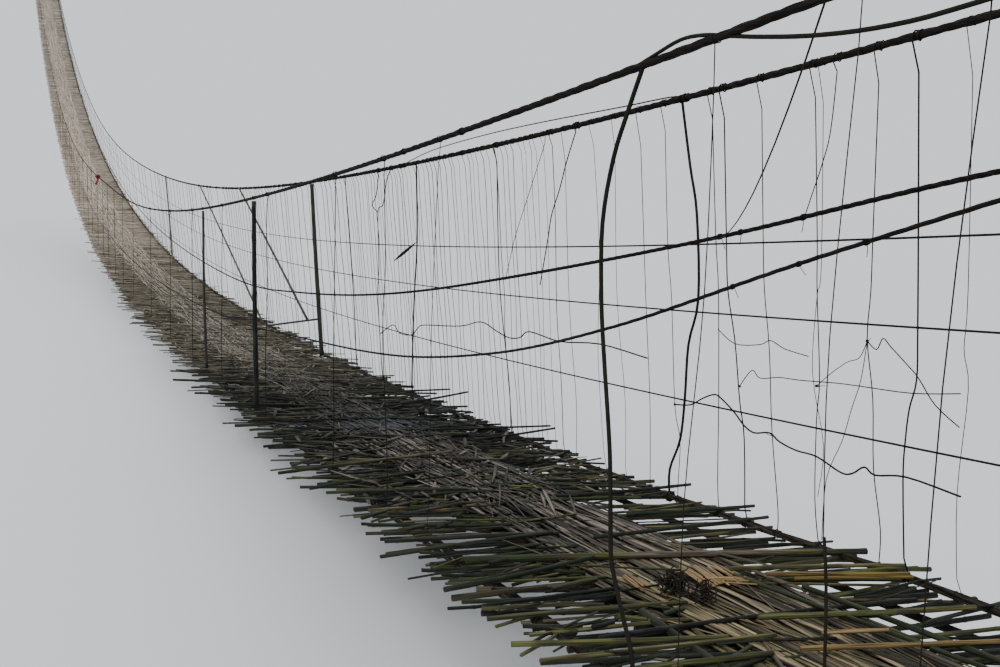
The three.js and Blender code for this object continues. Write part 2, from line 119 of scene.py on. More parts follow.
# Level ropes of the right-hand net, as (height over the middle of the walkway, place across)
SIDE_ROPES = {"low": (0.6, -1.02), "middle": (1.2, -0.98), "high": (1.63, -0.958)}
# Distance from the portals at which hand ropes and level ropes turn aside to the posts
FLARE = 0.5

# Portals, sills and anchor logs
POST_Y = 1.2
POST_RADIUS = (0.11, 0.09)
BEAM_RADIUS = 0.09
BEAM_HALF_LENGTH = 1.5
SILL_HALF_LENGTH = 1.06
SILL_HEIGHT = 0.25
SILL_TOP_HALF = 0.09
SILL_FOOT_HALF = 0.15
ANCHOR_DISTANCE = 5
ANCHOR_RADIUS = 0.16
ANCHOR_HALF_LENGTH = 1.5
SEAT_GAP = 0.003
# Height of a cable's middle over the head beam that it lies on
CABLE_SEAT = 0.015
FAR_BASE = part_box("far_sill")[0].z / METRE
# Both ends, as (name, distance, height of the ground, direction away from the bridge)
ENDS = (("near", 0, 0, -1), ("far", SPAN, FAR_BASE, 1))
# Turns round an anchor log, and how far they spread along it
CABLE_TURNS = (2.75, 0.11)
DECK_ROPE_TURNS = (1.8, 0.09)
# Turns of a hand rope or side rope round a portal post
POST_TURNS = 3

# Posts and braces between walkway and cables
PROP_FOOT_Y = {"left": 0.93, "right": -0.96}
# A spreader post's foot over the walkway, and its head under the middle of its cable
PROP_LIFT = 0.004
HEAD_DROP = 0.03
# Spreader posts, as (distance, radius)
SPREADERS = {"left": ((8.55, 0.025), (11.6, 0.018)), "right": ((13.05, 0.034), (29.8, 0.025))}
BRACE_FOOT_PLACES = (13.8, 17.1)
BRACE_HEAD_PLACES = (18.3, 23.1)
BRACE_HEAD_Y = -0.847
BRACE_RADIUS = 0.02
TIE_POLE_FOOT_PLACE = 16.8
TIE_POLE_HEIGHT = 0.55
TIE_POLE_RADIUS = 0.018

# Wires of the nets that the photo shows singly: radius, then (distance, height over the walkway's edge).
# CABLE stands for the height of the upper cable
CABLE = 9
NET_WIRES = {
    "left": (
        (0.009, ((2.08, CABLE), (2.16, 2.03), (2.24, 1.87), (2.29, 1.64), (2.27, 1.36), (2.23, 1.14),
                 (2.19, 0.95), (2.16, 0.79), (2.14, 0.61), (2.12, 0.42), (2.09, 0.34), (2.03, 0.22),
                 (1.97, 0.11), (1.93, 0))),
        (0.007, ((2.15, CABLE), (2.02, 2.19), (1.88, 2.21), (1.76, 2.2), (1.63, 2.17), (1.5, 2.14),
                 (1.3, 2.1), (1.08, 2.07), (0.86, 2.06), (0.6, 2.08), (0.3, CABLE))),
        (0.0018, ((1.12, CABLE), (1.14, 1.3), (1.1, 0.74))),
        (0.0048, ((1.1, 0.76), (1.07, 0.55), (1.03, 0))),
        (0.002, ((0.75, CABLE), (0.78, 1.2), (0.74, 0))),
        (0.002, ((1.7, CABLE), (1.68, 1.4), (1.72, 0.7), (1.69, 0))),
        (0.002, ((3.9, CABLE), (3.93, 1.2), (3.89, 0.38), (3.9, 0))),
        (0.003, ((4.78, CABLE), (4.7, 1.5), (4.72, 1.08), (4.65, 0.66), (4.58, 0.2), (4.6, 0))),
    ),
    "right": (
        (0.009, ((4.24, CABLE), (4.17, 2.22), (4.11, 1.91), (4.11, 1.38), (4.22, 1.08), (4.27, 0.71),
                 (4.33, 0.42), (4.45, 0.19), (4.46, 0))),
        (0.005, ((9.3, CABLE), (8.4, 2.7), (7.2, 2.73), (6.1, 2.72), (4.93, 2.68), (4.36, 2.66),
                 (4.2, CABLE))),
        (0.0021, ((0.8, CABLE), (0.83, 1.3), (0.8, 0))),
        (0.0021, ((1.2, CABLE), (1.17, 1.6), (1.22, 0.8), (1.2, 0))),
        (0.0021, ((1.7, CABLE), (1.72, 1.1), (1.68, 0))),
        (0.0021, ((2.2, CABLE), (2.18, 1.47), (2.19, 1.2), (2.16, 1.01), (2.2, 0.5), (2.18, 0))),
        (0.0045, ((2.48, CABLE), (2.46, 1.77), (2.45, 1.27), (2.45, 1.03), (2.49, 0.88), (2.51, 0.72),
                 (2.52, 0.51), (2.5, 0))),
        (0.0032, ((2.7, CABLE), (2.73, 1.76), (2.74, 1.46), (2.76, 1.21), (2.72, 0.9), (2.71, 0.53),
                  (2.66, 0.21), (2.67, 0))),
        (0.0032, ((3.12, CABLE), (3.1, 1.75), (3.1, 1.46), (3.08, 0.97), (3.1, 0.74), (3.11, 0.28),
                  (3.08, 0))),
        (0.0021, ((3.06, CABLE), (3.07, 1.6), (3.1, 1.42), (3.13, 1.0), (3.05, 0.6), (3.09, 0.3))),
        (0.0032, ((3.52, CABLE), (3.51, 1.77), (3.5, 1.45), (3.46, 1.1), (3.44, 0.63), (3.39, 0.15),
                  (3.4, 0))),
        (0.0042, ((3.84, CABLE), (3.83, 1.75), (3.82, 1.44), (3.76, 1.14), (3.72, 0.77), (3.68, 0.53),
                  (3.68, 0))),
        (0.0032, ((3.95, CABLE), (3.93, 1.78), (3.91, 1.44), (3.92, 0.75), (3.94, 0.22), (3.93, 0))),
        (0.0028, ((4.42, CABLE), (4.42, 1.76), (4.39, 1.37), (4.38, 0.66), (4.33, 0.42), (4.36, 0.12),
                  (4.37, 0))),
        (0.0028, ((4.7, CABLE), (4.68, 1.36), (4.66, 0.65), (4.68, 0.07), (4.69, 0))),
        (0.0021, ((5.0, CABLE), (5.04, 1.4), (4.97, 0.6), (5.0, 0))),
        (0.0021, ((5.3, CABLE), (5.26, 1.7), (5.33, 0.9), (5.28, 0))),
        (0.0025, ((5.7, CABLE), (5.73, 1.3), (5.68, 0.5), (5.72, 0))),
        (0.0025, ((2.76, 1.2), (2.8, 0.99), (2.86, 0.83), (2.92, 0.65), (3.03, 0.41), (3.06, 0.05))),
        (0.0032, ((2.96, CABLE), (3.01, 2.28), (3.07, 2.11), (3.14, 1.96), (3.2, 1.83))),
        (0.0032, ((5.95, CABLE), (6.3, 2.2), (6.6, 1.84), (6.73, 1.64), (6.86, 1.44))),
        (0.005, ((5.5, CABLE), (5.68, 2.39), (5.81, 2.18), (5.95, 1.99), (6.03, 1.79), (6.19, 1.42))),
        (0.006, ((9.6, CABLE), (9.79, 2.48), (9.99, 2.2), (10.19, 2.12), (10.3, 1.5), (10.44, 1.05),
                 (10.5, 0))),
        (0.006, ((10.04, CABLE), (10.21, 2.32), (10.39, 2.21), (10.19, 2.12))),
        (0.009, ((8.83, CABLE), (8.96, 1.8), (9.18, 1.13), (9.4, 0.3), (9.45, 0))),
        (0.007, ((11.4, CABLE), (11.47, 1.04), (11.59, 0.28), (11.6, 0))),
        (0.005, ((6.88, CABLE), (6.96, 1.8), (6.98, 1.25), (6.9, 0.5), (6.92, 0))),
        (0.0032, ((3.92, 1.2), (3.76, 1.12), (3.54, 1.13), (3.45, 1.16), (3.34, 1.12), (3.16, 1.09))),
        (0.0032, ((3.73, 0.85), (3.61, 0.97), (3.54, 0.93), (3.38, 0.95), (3.22, 0.95), (2.96, 0.96),
                  (2.79, 0.96), (2.48, 0.96), (2.2, 0.99))),
        (0.0025, ((3.1, 0.93), (3.0, 1.01), (2.89, 1.08), (2.81, 1.11), (2.76, 1.2))),
        (0.0032, ((2.76, 1.2), (2.7, 1.16), (2.66, 1.22), (2.61, 1.18), (2.51, 1.1), (2.44, 1.04),
                  (2.34, 0.92), (2.2, 0.83))),
        (0.0055, ((4.38, 0.66), (4.21, 0.68), (4.08, 0.74), (3.96, 0.78), (3.89, 0.76), (3.77, 0.69),
                  (3.68, 0.62), (3.59, 0.59), (3.46, 0.61), (3.38, 0.57), (3.25, 0.54), (3.1, 0.53),
                  (2.93, 0.47), (2.85, 0.48), (2.77, 0.53), (2.7, 0.5), (2.5, 0.53), (2.18, 0.5))),
        (0.006, ((10.45, 0.62), (9.95, 0.78), (9.73, 0.7), (9.33, 0.72), (9.12, 0.82), (8.9, 0.87),
                 (7.93, 0.94), (7.44, 1.02), (7.12, 0.96), (6.86, 0.92), (6.62, 0.94), (6.42, 1.01),
                 (5.9, 0.97), (5.3, 1.0), (4.68, 0.95))),
    ),
}
# Plain wires: where they start, then rows as (end, distance from one wire to the next, smallest and
# largest radius)
NET_ROWS = {
    "left": (5.8, ((24, 2.4, 0.003, 0.0045), (SPAN - 0.8, 2.2, 0.006, 0.006))),
    "right": (5.9, ((11.4, 0.105, 0.0018, 0.0036), (20, 0.26, 0.0025, 0.0045), (32, 0.6, 0.004, 0.0055),
                    (SPAN - 0.8, 1.4, 0.006, 0.006))),
}
# A wire of this radius or more lies against its cable, and isn't wound round it
THICK_WIRE = 0.0065
# How far the turns of a wire spread along its cable or bundle
LOOP_SPREAD = 0.04
# Plain wires have several bends and the edges have lashings up to here
BENT_WIRE_END = 24
EDGE_LASHINGS_END = 24
# Knots on the wires of the right-hand net, then on the hand ropes and upper cables
NET_KNOTS = ((4.38, 0.66), (2.76, 1.2), (9.33, 0.72), (3.1, 0.93), (3.72, 0.86), (3.44, 0.6))
HAND_ROPE_KNOTS = {"left": (1.1, 1.34, 1.62), "right": (3.11, 3.6, 3.78)}
CABLE_KNOTS = {"left": (3.62, 4.43), "right": (4.24, 5.54, 7.63, 9.19)}
# A wire from the left cable over the walkway to the right hand rope: both distances, radius and sag
CROSS_WIRE = (1.25, 3.86, 0.0032, 0.19)
# A scrap of red cloth tied to the left cable
CLOTH_PLACE = 31.9

# Single poles that the photo shows on the walkway: both ends as (distance, place across, lift), then the
# radius, and a tone from dark at 0 to grey tan at 1, or several along the pole
SINGLE_POLES = (
    ((3.38, 0.98, 0.012), (2.88, -1.2, 0.004), 0.0185, (0.45, 0.62, 1.0, 1.0, 0.94, 0.3)),
    ((3.5, 0.16, 0.04), (3.66, -1.2, 0.02), 0.011, 0.3),
    ((2.2, 0.16, 0.036), (1.98, -0.9, 0.02), 0.013, 0.85),
    ((2.75, -0.17, 0.022), (1.2, -0.33, 0.022), 0.01, 0.5),
    ((2.5, -0.38, 0.014), (0.9, -0.46, 0.014), 0.013, 0.5),
    ((2.52, 0.53, -0.008), (1.75, 0.6, -0.008), 0.016, (0.42, 0.2)),
    ((2.8, -0.19, 0.036), (2.56, -1.13, 0.03), 0.011, 0.9),
    ((5.47, 1.42, 0.03), (6.0, -0.06, 0.04), 0.0115, (0.5, 0.82, 1.0, 1.0)),
    ((2.36, 1.24, 0.01), (2.1, 0.4, 0.02), 0.011, 0.84),
    ((2.2, 1.2, 0.0), (2.05, 0.2, 0.02), 0.01, 0.9),
    ((2.02, 1.22, 0.01), (1.9, 0.35, 0.02), 0.012, 0.78),
    ((2.66, 1.2, 0.0), (2.5, 0.3, 0.02), 0.01, 0.72),
    ((5.12, 1.3, 0.0), (5.4, 0.4, 0.02), 0.011, 0.3),
    ((3.64, 1.3, 0.0), (3.72, 0.3, 0.02), 0.011, 0.4),
    ((3.0, 1.25, 0.02), (3.2, 0.35, 0.03), 0.012, 0.2),
    ((10.3, 1.5, 0.02), (10.1, 0.5, 0.02), 0.012, 0.3),
    ((8.6, -0.6, 0.02), (8.95, -1.52, 0.1), 0.012, 0.25),
    ((9.5, -0.7, 0.02), (9.7, -1.62, 0.02), 0.011, 0.25),
    ((6.6, -0.5, 0.01), (6.9, -1.5, 0.05), 0.011, 0.3),
    ((7.1, -0.7, 0.02), (7.2, -1.62, 0.02), 0.01, 0.2),
    ((4.5, -0.3, 0.02), (4.62, -1.34, 0.02), 0.012, 0.15),
    ((3.95, -0.35, 0.02), (3.9, -1.3, 0.03), 0.012, 0.2),
)
# Freshly split poles, yellow where the tone is low and orange where it is high
FRESH_POLES = (
    ((2.66, -0.3, 0.04), (2.44, -1.02, 0.03), 0.011, (0.5, 0.0)),
    ((2.58, -0.4, 0.03), (2.4, -1.0, 0.03), 0.009, 0.05),
    ((1.94, 0.06, 0.05), (1.86, -0.22, 0.05), 0.009, 0.8),
    ((1.86, 0.25, 0.04), (1.62, -0.57, 0.04), 0.01, 0.45),
)
# Bunches of fresh strips: both ends of the first strip as (distance, place across), the step from one strip
# to the next, and how many there are
FRESH_STRIPS = (
    ((2.93, 0.02), (2.66, 0.08), (0.0, -0.019), 13),
    ((2.68, 0.0), (2.6, -0.2), (0.022, 0.0), 5),
    ((2.93, 0.36), (2.74, 0.4), (0.0, -0.02), 3),
)
STRIP_HALF_WIDTH = 0.0105
STRIP_HALF_THICKNESS = 0.0035
# Clumps of fibres, as (distance, place across, how many fibres)
CLUMPS = ((2.68, 0.25, 80), (2.53, 0.2, 40))
ROPE_STICK = ((9.75, 1.55), (9.0, 1.77))

# Camera: place in real metres, heading to the right of the bridge's axis, pitch and lens
CAMERA_PLACE = (-0.7, 2.78, DECK_TOP_NEAR + 1.663)
CAMERA_HEADING = 26.0
CAMERA_PITCH = -8.885
CAMERA_LENS = 34.2
SENSOR_WIDTH = 36
# Nearest and farthest distance that the camera sees, in the model's own metres
CAMERA_CLIP = (0.004, 1000)
# Half the breadth of the floor and its level, in the model's own metres
FLOOR_REACH = 400
FLOOR_LEVEL = -0.1
# Lights: name, heading, height, strength and breadth, with the angles in degrees
SUNS = (("key", 215, 52, 2.0, 25), ("fill", 60, 40, 0.6, 60))


def smoothstep(low, high, value):
    share = min(max((value - low) / (high - low), 0), 1)
    return share * share * (3 - 2 * share)


def mix(a, b, share):
    return a + (b - a) * share


def rough(*place):
    """Smooth noise from -1 to 1 at a place."""
    return noise.noise(Vector(place))


def round_place(angle, reach, along):
    """A place round the Z axis, at a distance along it."""
    return Vector((math.cos(angle) * reach, math.sin(angle) * reach, along))


def deck_height(x):
    """Height of the walkway's middle at a distance from the near sill."""
    return DECK_TOP_NEAR + SAG_RATE * ((x - LOW_POINT) ** 2 - LOW_POINT ** 2)


def deck_top(x, y):
    """Height of the walkway's top, which leans up to the left in its near part."""
    lean = mix(LEAN_AT_SILL, LEAN_FULL, smoothstep(*LEAN_STARTS, x))
    return deck_height(x) + lean * (1 - smoothstep(*LEAN_ENDS, x)) * y


def on_deck(x, y, lift=0.0):
    """A place on the walkway's top, or at a height over it."""
    return Vector((x, y, deck_top(x, y) + lift))


def height_over(pairs, x):
    """Smooth curve through (distance, height) pairs."""
    last = len(pairs) - 1
    index = 0
    while index < last - 1 and x > pairs[index + 1][0]:
        index += 1

    def slope(at):
        before = pairs[max(at - 1, 0)]
        after = pairs[min(at + 1, last)]
        return (after[1] - before[1]) / (after[0] - before[0])

    length = pairs[index + 1][0] - pairs[index][0]
    t = (x - pairs[index][0]) / length
    start = (1 + 2 * t) * (1 - t) ** 2 * pairs[index][1] + t * (1 - t) ** 2 * length * slope(index)
    end = t * t * (3 - 2 * t) * pairs[index + 1][1] - t * t * (1 - t) * length * slope(index + 1)
    return start + end


def cable_height(side, x):
    return deck_height(x) + height_over(CABLE_HEIGHTS[side], x)


def hand_rope_height(side, x):
    return deck_height(x) + height_over(HAND_ROPE_HEIGHTS[side], x)


def beam_height(side, x):
    """Height of a head beam's middle line under a cable."""
    return cable_height(side, x) - CABLE_SEAT - BEAM_RADIUS - SEAT_GAP


# Node trees


# Steps past the seed of a tree that lays pieces, one for each thing that it draws at random
DRAWS = {"Along": 1, "Across": 2, "Lift": 3, "Turn": 4, "Length": 5, "Width": 6, "Kind": 7, "Tone": 8,
         "Tilt": 9, "Roll": 10}
# Socket types by the kind of their default
SOCKETS = {int: "Int", float: "Float", type(None): "Collection"}
NODE_SPACING = 180
# Far more than the kinds in any collection, so that each is picked about as often as the others
MOST_KINDS = 100
# Reach of a laid rope's strands, as a share of its radius
STRAND_REACH = 1.06


class Tree:
    """A node tree under construction. A value may be a number, a socket or a node."""

    def __init__(self, group):
        self.group = group
        self.inputs = None
        self.shader = None

    def feed(self, socket, value):
        if isinstance(value, bpy.types.Node):
            value = next(out for out in value.outputs if out.enabled)
        if isinstance(value, bpy.types.NodeSocket):
            self.group.links.new(value, socket)
        elif value is not None:
            socket.default_value = value

    def add(self, kind, *values, **settings):
        """A node with its settings, whose sockets take the values in order. None leaves a socket as it is."""
        node = self.group.nodes.new(kind)
        node.location = (NODE_SPACING * len(self.group.nodes), 0)
        for key, value in settings.items():
            setattr(node, key, value)
        sockets = [socket for socket in node.inputs if socket.enabled]
        for socket, value in zip(sockets, values):
            self.feed(socket, value)
        return node

    def math(self, operation, *values):
        return self.add("ShaderNodeMath", *values, operation=operation)

    def plus(self, a, b):
        return self.math("ADD", a, b)

    def minus(self, a, b):
        return self.math("SUBTRACT", a, b)

    def times(self, a, b):
        return self.math("MULTIPLY", a, b)

    def over(self, a, b):
        return self.math("DIVIDE", a, b)

    def times_plus(self, a, b, c):
        return self.math("MULTIPLY_ADD", a, b, c)

    def vector(self, operation, *values):
        return self.add("ShaderNodeVectorMath", *values, operation=operation)

    def combine(self, x, y, z):
        return self.add("ShaderNodeCombineXYZ", x, y, z)

    def split(self, value):
        return self.add("ShaderNodeSeparateXYZ", value).outputs

    def ease(self, value, low, high, from_value=0.0, to_value=1.0):
        return self.add("ShaderNodeMapRange", value, low, high, from_value, to_value,
                        interpolation_type="SMOOTHSTEP")

    def random(self, low, high, step, kind="FLOAT"):
        """A random value, whose seed lies a step past the tree's own, so that no two draws are alike."""
        seed = self.plus(self.inputs["Seed"], step)
        return self.add("FunctionNodeRandomValue", low, high, None, seed, data_type=kind)

    def spread(self, draw):
        """A random value that reaches as far on both sides of 0 as an input says."""
        reach = self.inputs[f"{draw} Spread"]
        return self.random(self.times(reach, -1.0), reach, DRAWS[draw])

    def between(self, draw):
        """A random value between two inputs."""
        return self.random(self.inputs[f"{draw} Low"], self.inputs[f"{draw} High"], DRAWS[draw])

    def store(self, geometry, name, value, domain="POINT", kind="FLOAT"):
        return self.add("GeometryNodeStoreNamedAttribute", geometry, True, name, value,
                        data_type=kind, domain=domain)

    def read(self, name, kind="FLOAT"):
        return self.add("GeometryNodeInputNamedAttribute", name, data_type=kind)

    def measure(self, paths):
        """Stores how far along its path each point lies."""
        return self.store(paths, "along", self.add("GeometryNodeSplineParameter").outputs["Length"])

    def sweep(self, paths, radius, grain_size, label, shift):
        """Tubes along measured paths whose points hold their thickness.

        Each holds the grain of its surface, shifted along by a stored value so that no two are alike.
        """
        ring = self.add("GeometryNodeCurvePrimitiveCircle", self.inputs["Sides"], radius)
        ring = self.store(ring, "ring", self.add("GeometryNodeInputPosition"), kind="FLOAT_VECTOR")
        tube = self.add("GeometryNodeCurveToMesh", paths, ring, self.read("thickness"), True)
        across = self.split(self.vector("SCALE", self.read("ring", "FLOAT_VECTOR"), grain_size))
        along = self.times_plus(self.read(label), shift, self.read("along"))
        return self.store(tube, "grain", self.combine(across[0], across[1], along), kind="FLOAT_VECTOR")

    def close(self, geometry):
        """Realizes the instances, sets the material and ends the tree."""
        real = self.add("GeometryNodeRealizeInstances", geometry)
        painted = self.add("GeometryNodeSetMaterial", real, True, self.inputs["Material"])
        self.add("NodeGroupOutput", painted)
        return self.group


def geometry_tree(name, sizes):
    """A geometry node tree with its named inputs and their defaults. None stands for a collection."""
    group = bpy.data.node_groups.new(name, "GeometryNodeTree")
    group.interface.new_socket("Geometry", in_out="OUTPUT", socket_type="NodeSocketGeometry")
    group.interface.new_socket("Geometry", in_out="INPUT", socket_type="NodeSocketGeometry")
    for label, usual in sizes.items():
        kind = "NodeSocket" + SOCKETS[type(usual)]
        socket = group.interface.new_socket(label, in_out="INPUT", socket_type=kind)
        if usual is not None:
            socket.default_value = usual
    group.interface.new_socket("Material", in_out="INPUT", socket_type="NodeSocketMaterial")
    tree = Tree(group)
    tree.inputs = group.nodes.new("NodeGroupInput").outputs
    return tree


def deck_surface(tree, x, y):
    """Nodes that give the height of the walkway's top at x and y."""
    from_low = tree.math("POWER", tree.math("ABSOLUTE", tree.minus(x, LOW_POINT)), 2.0)
    rise = tree.times(tree.minus(from_low, LOW_POINT ** 2), SAG_RATE)
    lean = tree.ease(x, *LEAN_STARTS, LEAN_AT_SILL, LEAN_FULL)
    left = tree.ease(x, *LEAN_ENDS, 1.0, 0.0)
    return tree.times_plus(tree.times(lean, left), y, tree.plus(rise, DECK_TOP_NEAR))


def laid_tree(name, sizes, place):
    """A tree that lays pieces of a collection along the walkway, at the points that place gives."""
    tree = geometry_tree(name, {
        "Pieces": None, "Count": 10, "Start": 0.0, "Pitch": 0.1, "Along Spread": 0.02, "Across Spread": 0.1,
        "Lift Low": 0.0, "Lift High": 0.01, "Turn Spread": 0.05, "Length Low": 0.9, "Length High": 1.1,
        "Width Low": 0.8, "Width High": 1.2, "Tilt Spread": 0.005, "Tone Low": 0.0, "Tone High": 1.0,
        "Seed": 1, **sizes,
    })
    given = tree.inputs
    line = tree.add("GeometryNodeMeshLine", given["Count"], (0, 0, 0), (0, 0, 0))
    x, y, turn, roll = place(tree)
    along = tree.plus(x, tree.spread("Along"))
    across = tree.plus(y, tree.spread("Across"))
    spots = tree.combine(along, across, tree.between("Lift"))
    points = tree.add("GeometryNodeSetPosition", line, True, spots)
    euler = tree.combine(0.0, roll, tree.plus(turn, tree.spread("Turn")))
    rotation = tree.add("FunctionNodeEulerToRotation", euler)
    width = tree.between("Width")
    size = tree.combine(width, tree.between("Length"), width)
    pieces = tree.add("GeometryNodeCollectionInfo", given["Pieces"], True, True)
    kind = tree.random(0, MOST_KINDS, DRAWS["Kind"], "INT")
    instances = tree.add("GeometryNodeInstanceOnPoints", points, True, pieces, True, kind, rotation, size)
    tinted = tree.store(instances, "tint", tree.between("Tone"), "INSTANCE")
    tilted = tree.store(tinted, "tilt", tree.spread("Tilt"), "INSTANCE")
    real = tree.add("GeometryNodeRealizeInstances", tilted)
    spot = tree.split(tree.add("GeometryNodeInputPosition"))
    raised = tree.times_plus(tree.read("tilt"), spot[1], deck_surface(tree, spot[0], spot[1]))
    return tree.close(tree.add("GeometryNodeSetPosition", real, True, None, tree.combine(0.0, 0.0, raised)))


def place_in_row(tree):
    """Crosswise pieces one after another, in clumps. The nearest ones stand askew, and each is rolled."""
    given = tree.inputs
    place = tree.times_plus(tree.add("GeometryNodeInputIndex"), given["Pitch"], given["Start"])
    wave = tree.plus(tree.times(place, given["Clump Rate"]), given["Seed"])
    drift = tree.add("ShaderNodeTexNoise", wave, 1.0, 1.0, noise_dimensions="1D")
    x = tree.times_plus(tree.minus(drift, 0.5), given["Clump"], place)
    past = tree.math("MAXIMUM", tree.minus(x, given["Skew Starts"]), 0.0)
    fade = tree.math("EXPONENT", tree.over(past, tree.times(given["Skew Fades"], -1.0)))
    grown_in = tree.ease(x, 0.2, given["Skew Starts"])
    turn = tree.times(tree.times(fade, grown_in), given["Skew"])
    return x, given["Centre"], turn, tree.random(0.0, math.tau, DRAWS["Roll"])


def place_in_lanes(tree):
    """Lengthwise pieces in lanes side by side, row after row."""
    given = tree.inputs
    index = tree.add("GeometryNodeInputIndex")
    lane = tree.math("FLOORED_MODULO", index, given["Lanes"])
    row = tree.math("FLOOR", tree.over(index, given["Lanes"]))
    stagger = tree.math("FRACT", tree.times(lane, given["Stagger"]))
    x = tree.times_plus(tree.plus(row, stagger), given["Pitch"], given["Start"])
    share = tree.over(tree.plus(lane, 0.5), given["Lanes"])
    y = tree.times_plus(share, tree.minus(given["Left Edge"], given["Right Edge"]), given["Right Edge"])
    return x, y, math.pi / 2, tree.random(-STRIP_ROLL, STRIP_ROLL, DRAWS["Roll"])


def cross_pole_tree():
    return laid_tree("Cross Poles", {
        "Centre": 0.0, "Skew": -0.24, "Skew Starts": 1.5, "Skew Fades": 1.8, "Clump": 0.3, "Clump Rate": 2.2,
    }, place_in_row)


def matting_tree():
    return laid_tree("Split Matting", {
        "Lanes": 20, "Stagger": 0.618, "Left Edge": MAT_EDGES[1], "Right Edge": MAT_EDGES[0],
    }, place_in_lanes)


def laid_rope_tree():
    """Twists strands round a path whose points say how far the rope has turned there."""
    tree = geometry_tree("Laid Rope", {"Radius": 0.015, "Strands": 3, "Sides": 5, "Relief": 0.5})
    given = tree.inputs
    path = tree.add("GeometryNodeMeshToCurve", given["Geometry"])
    copies = tree.add("GeometryNodeDuplicateElements", path, True, given["Strands"], domain="SPLINE")
    number = copies.outputs["Duplicate Index"]
    angle = tree.times_plus(tree.over(number, given["Strands"]), math.tau, tree.read("twist"))
    normal = tree.add("GeometryNodeInputNormal")
    binormal = tree.vector("CROSS_PRODUCT", tree.add("GeometryNodeInputTangent"), normal)
    reach = tree.times(given["Radius"], tree.times(tree.read("thickness"), given["Relief"]))
    ways = [tree.vector("SCALE", way, tree.times(tree.math(operation, angle), reach))
            for operation, way in (("COSINE", normal), ("SINE", binormal))]
    strands = tree.measure(tree.store(copies.outputs["Geometry"], "strand", number))
    moved = tree.add("GeometryNodeSetPosition", strands, True, None, tree.vector("ADD", *ways))
    strand_radius = tree.times(given["Radius"], tree.minus(STRAND_REACH, given["Relief"]))
    return tree.close(tree.sweep(moved, strand_radius, grain_size=1.0, label="strand", shift=3.7))


def wire_tree():
    """Round wires or canes along paths whose points hold their thickness."""
    tree = geometry_tree("Wires", {"Sides": 5})
    paths = tree.measure(tree.add("GeometryNodeMeshToCurve", tree.inputs["Geometry"]))
    return tree.close(tree.sweep(paths, radius=1.0, grain_size=0.012, label="tint", shift=31.0))


def lashing_tree():
    """Sets pieces of a collection on points that hold their turn and size."""
    tree = geometry_tree("Lashings", {"Pieces": None, "Seed": 1})
    given = tree.inputs
    pieces = tree.add("GeometryNodeCollectionInfo", given["Pieces"], True, True)
    rotation = tree.add("FunctionNodeEulerToRotation", tree.read("turn", "FLOAT_VECTOR"))
    size = tree.read("size", "FLOAT_VECTOR")
    kind = tree.random(0, MOST_KINDS, 0, "INT")
    instances = tree.add("GeometryNodeInstanceOnPoints", given["Geometry"], True, pieces, True, kind,
                         rotation, size)
    return tree.close(tree.store(instances, "tint", tree.random(0.0, 1.0, 1), "INSTANCE"))


# Meshes and objects


def new_object(name, mesh, collection=None):
    piece = bpy.data.objects.new(name, mesh)
    (collection or bpy.context.scene.collection).objects.link(piece)
    return piece


def grown(name, source, tree, sizes):
    """Runs a node tree on an object and returns the result as a plain mesh object of the model's size."""
    modifier = source.modifiers.new(tree.name, "NODES")
    modifier.node_group = tree
    for item in tree.interface.items_tree:
        if item.item_type == "SOCKET" and item.in_out == "INPUT" and item.name in sizes:
            modifier[item.identifier] = sizes[item.name]
    graph = bpy.context.evaluated_depsgraph_get()
    mesh = bpy.data.meshes.new_from_object(
        source.evaluated_get(graph), preserve_all_data_layers=True, depsgraph=graph)
    source.modifiers.remove(modifier)
    bpy.data.objects.remove(source)
    if not mesh.polygons:
        raise RuntimeError(f"{name} came out empty")
    mesh.transform(Matrix.Scale(METRE, 4))
    return new_object(name, mesh)


def joined(name, pieces):
    """One object out of several, in their order."""
    with bpy.context.temp_override(active_object=pieces[0], selected_editable_objects=pieces):
        bpy.ops.object.join()
    pieces[0].name = name
    return pieces[0]


def settle(piece, slot, *nodes, smooth=True):
    """Hands a finished piece over to the frame."""
    if smooth:
        piece.data.shade_smooth()
    else:
        piece.data.shade_flat()
    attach(piece, "root")
    if nodes:
        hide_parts(*nodes)


def along_line(start, stop, steps):
    """Places at even steps from start to stop, both included."""
    return [start.lerp(stop, step / steps) for step in range(steps + 1)]


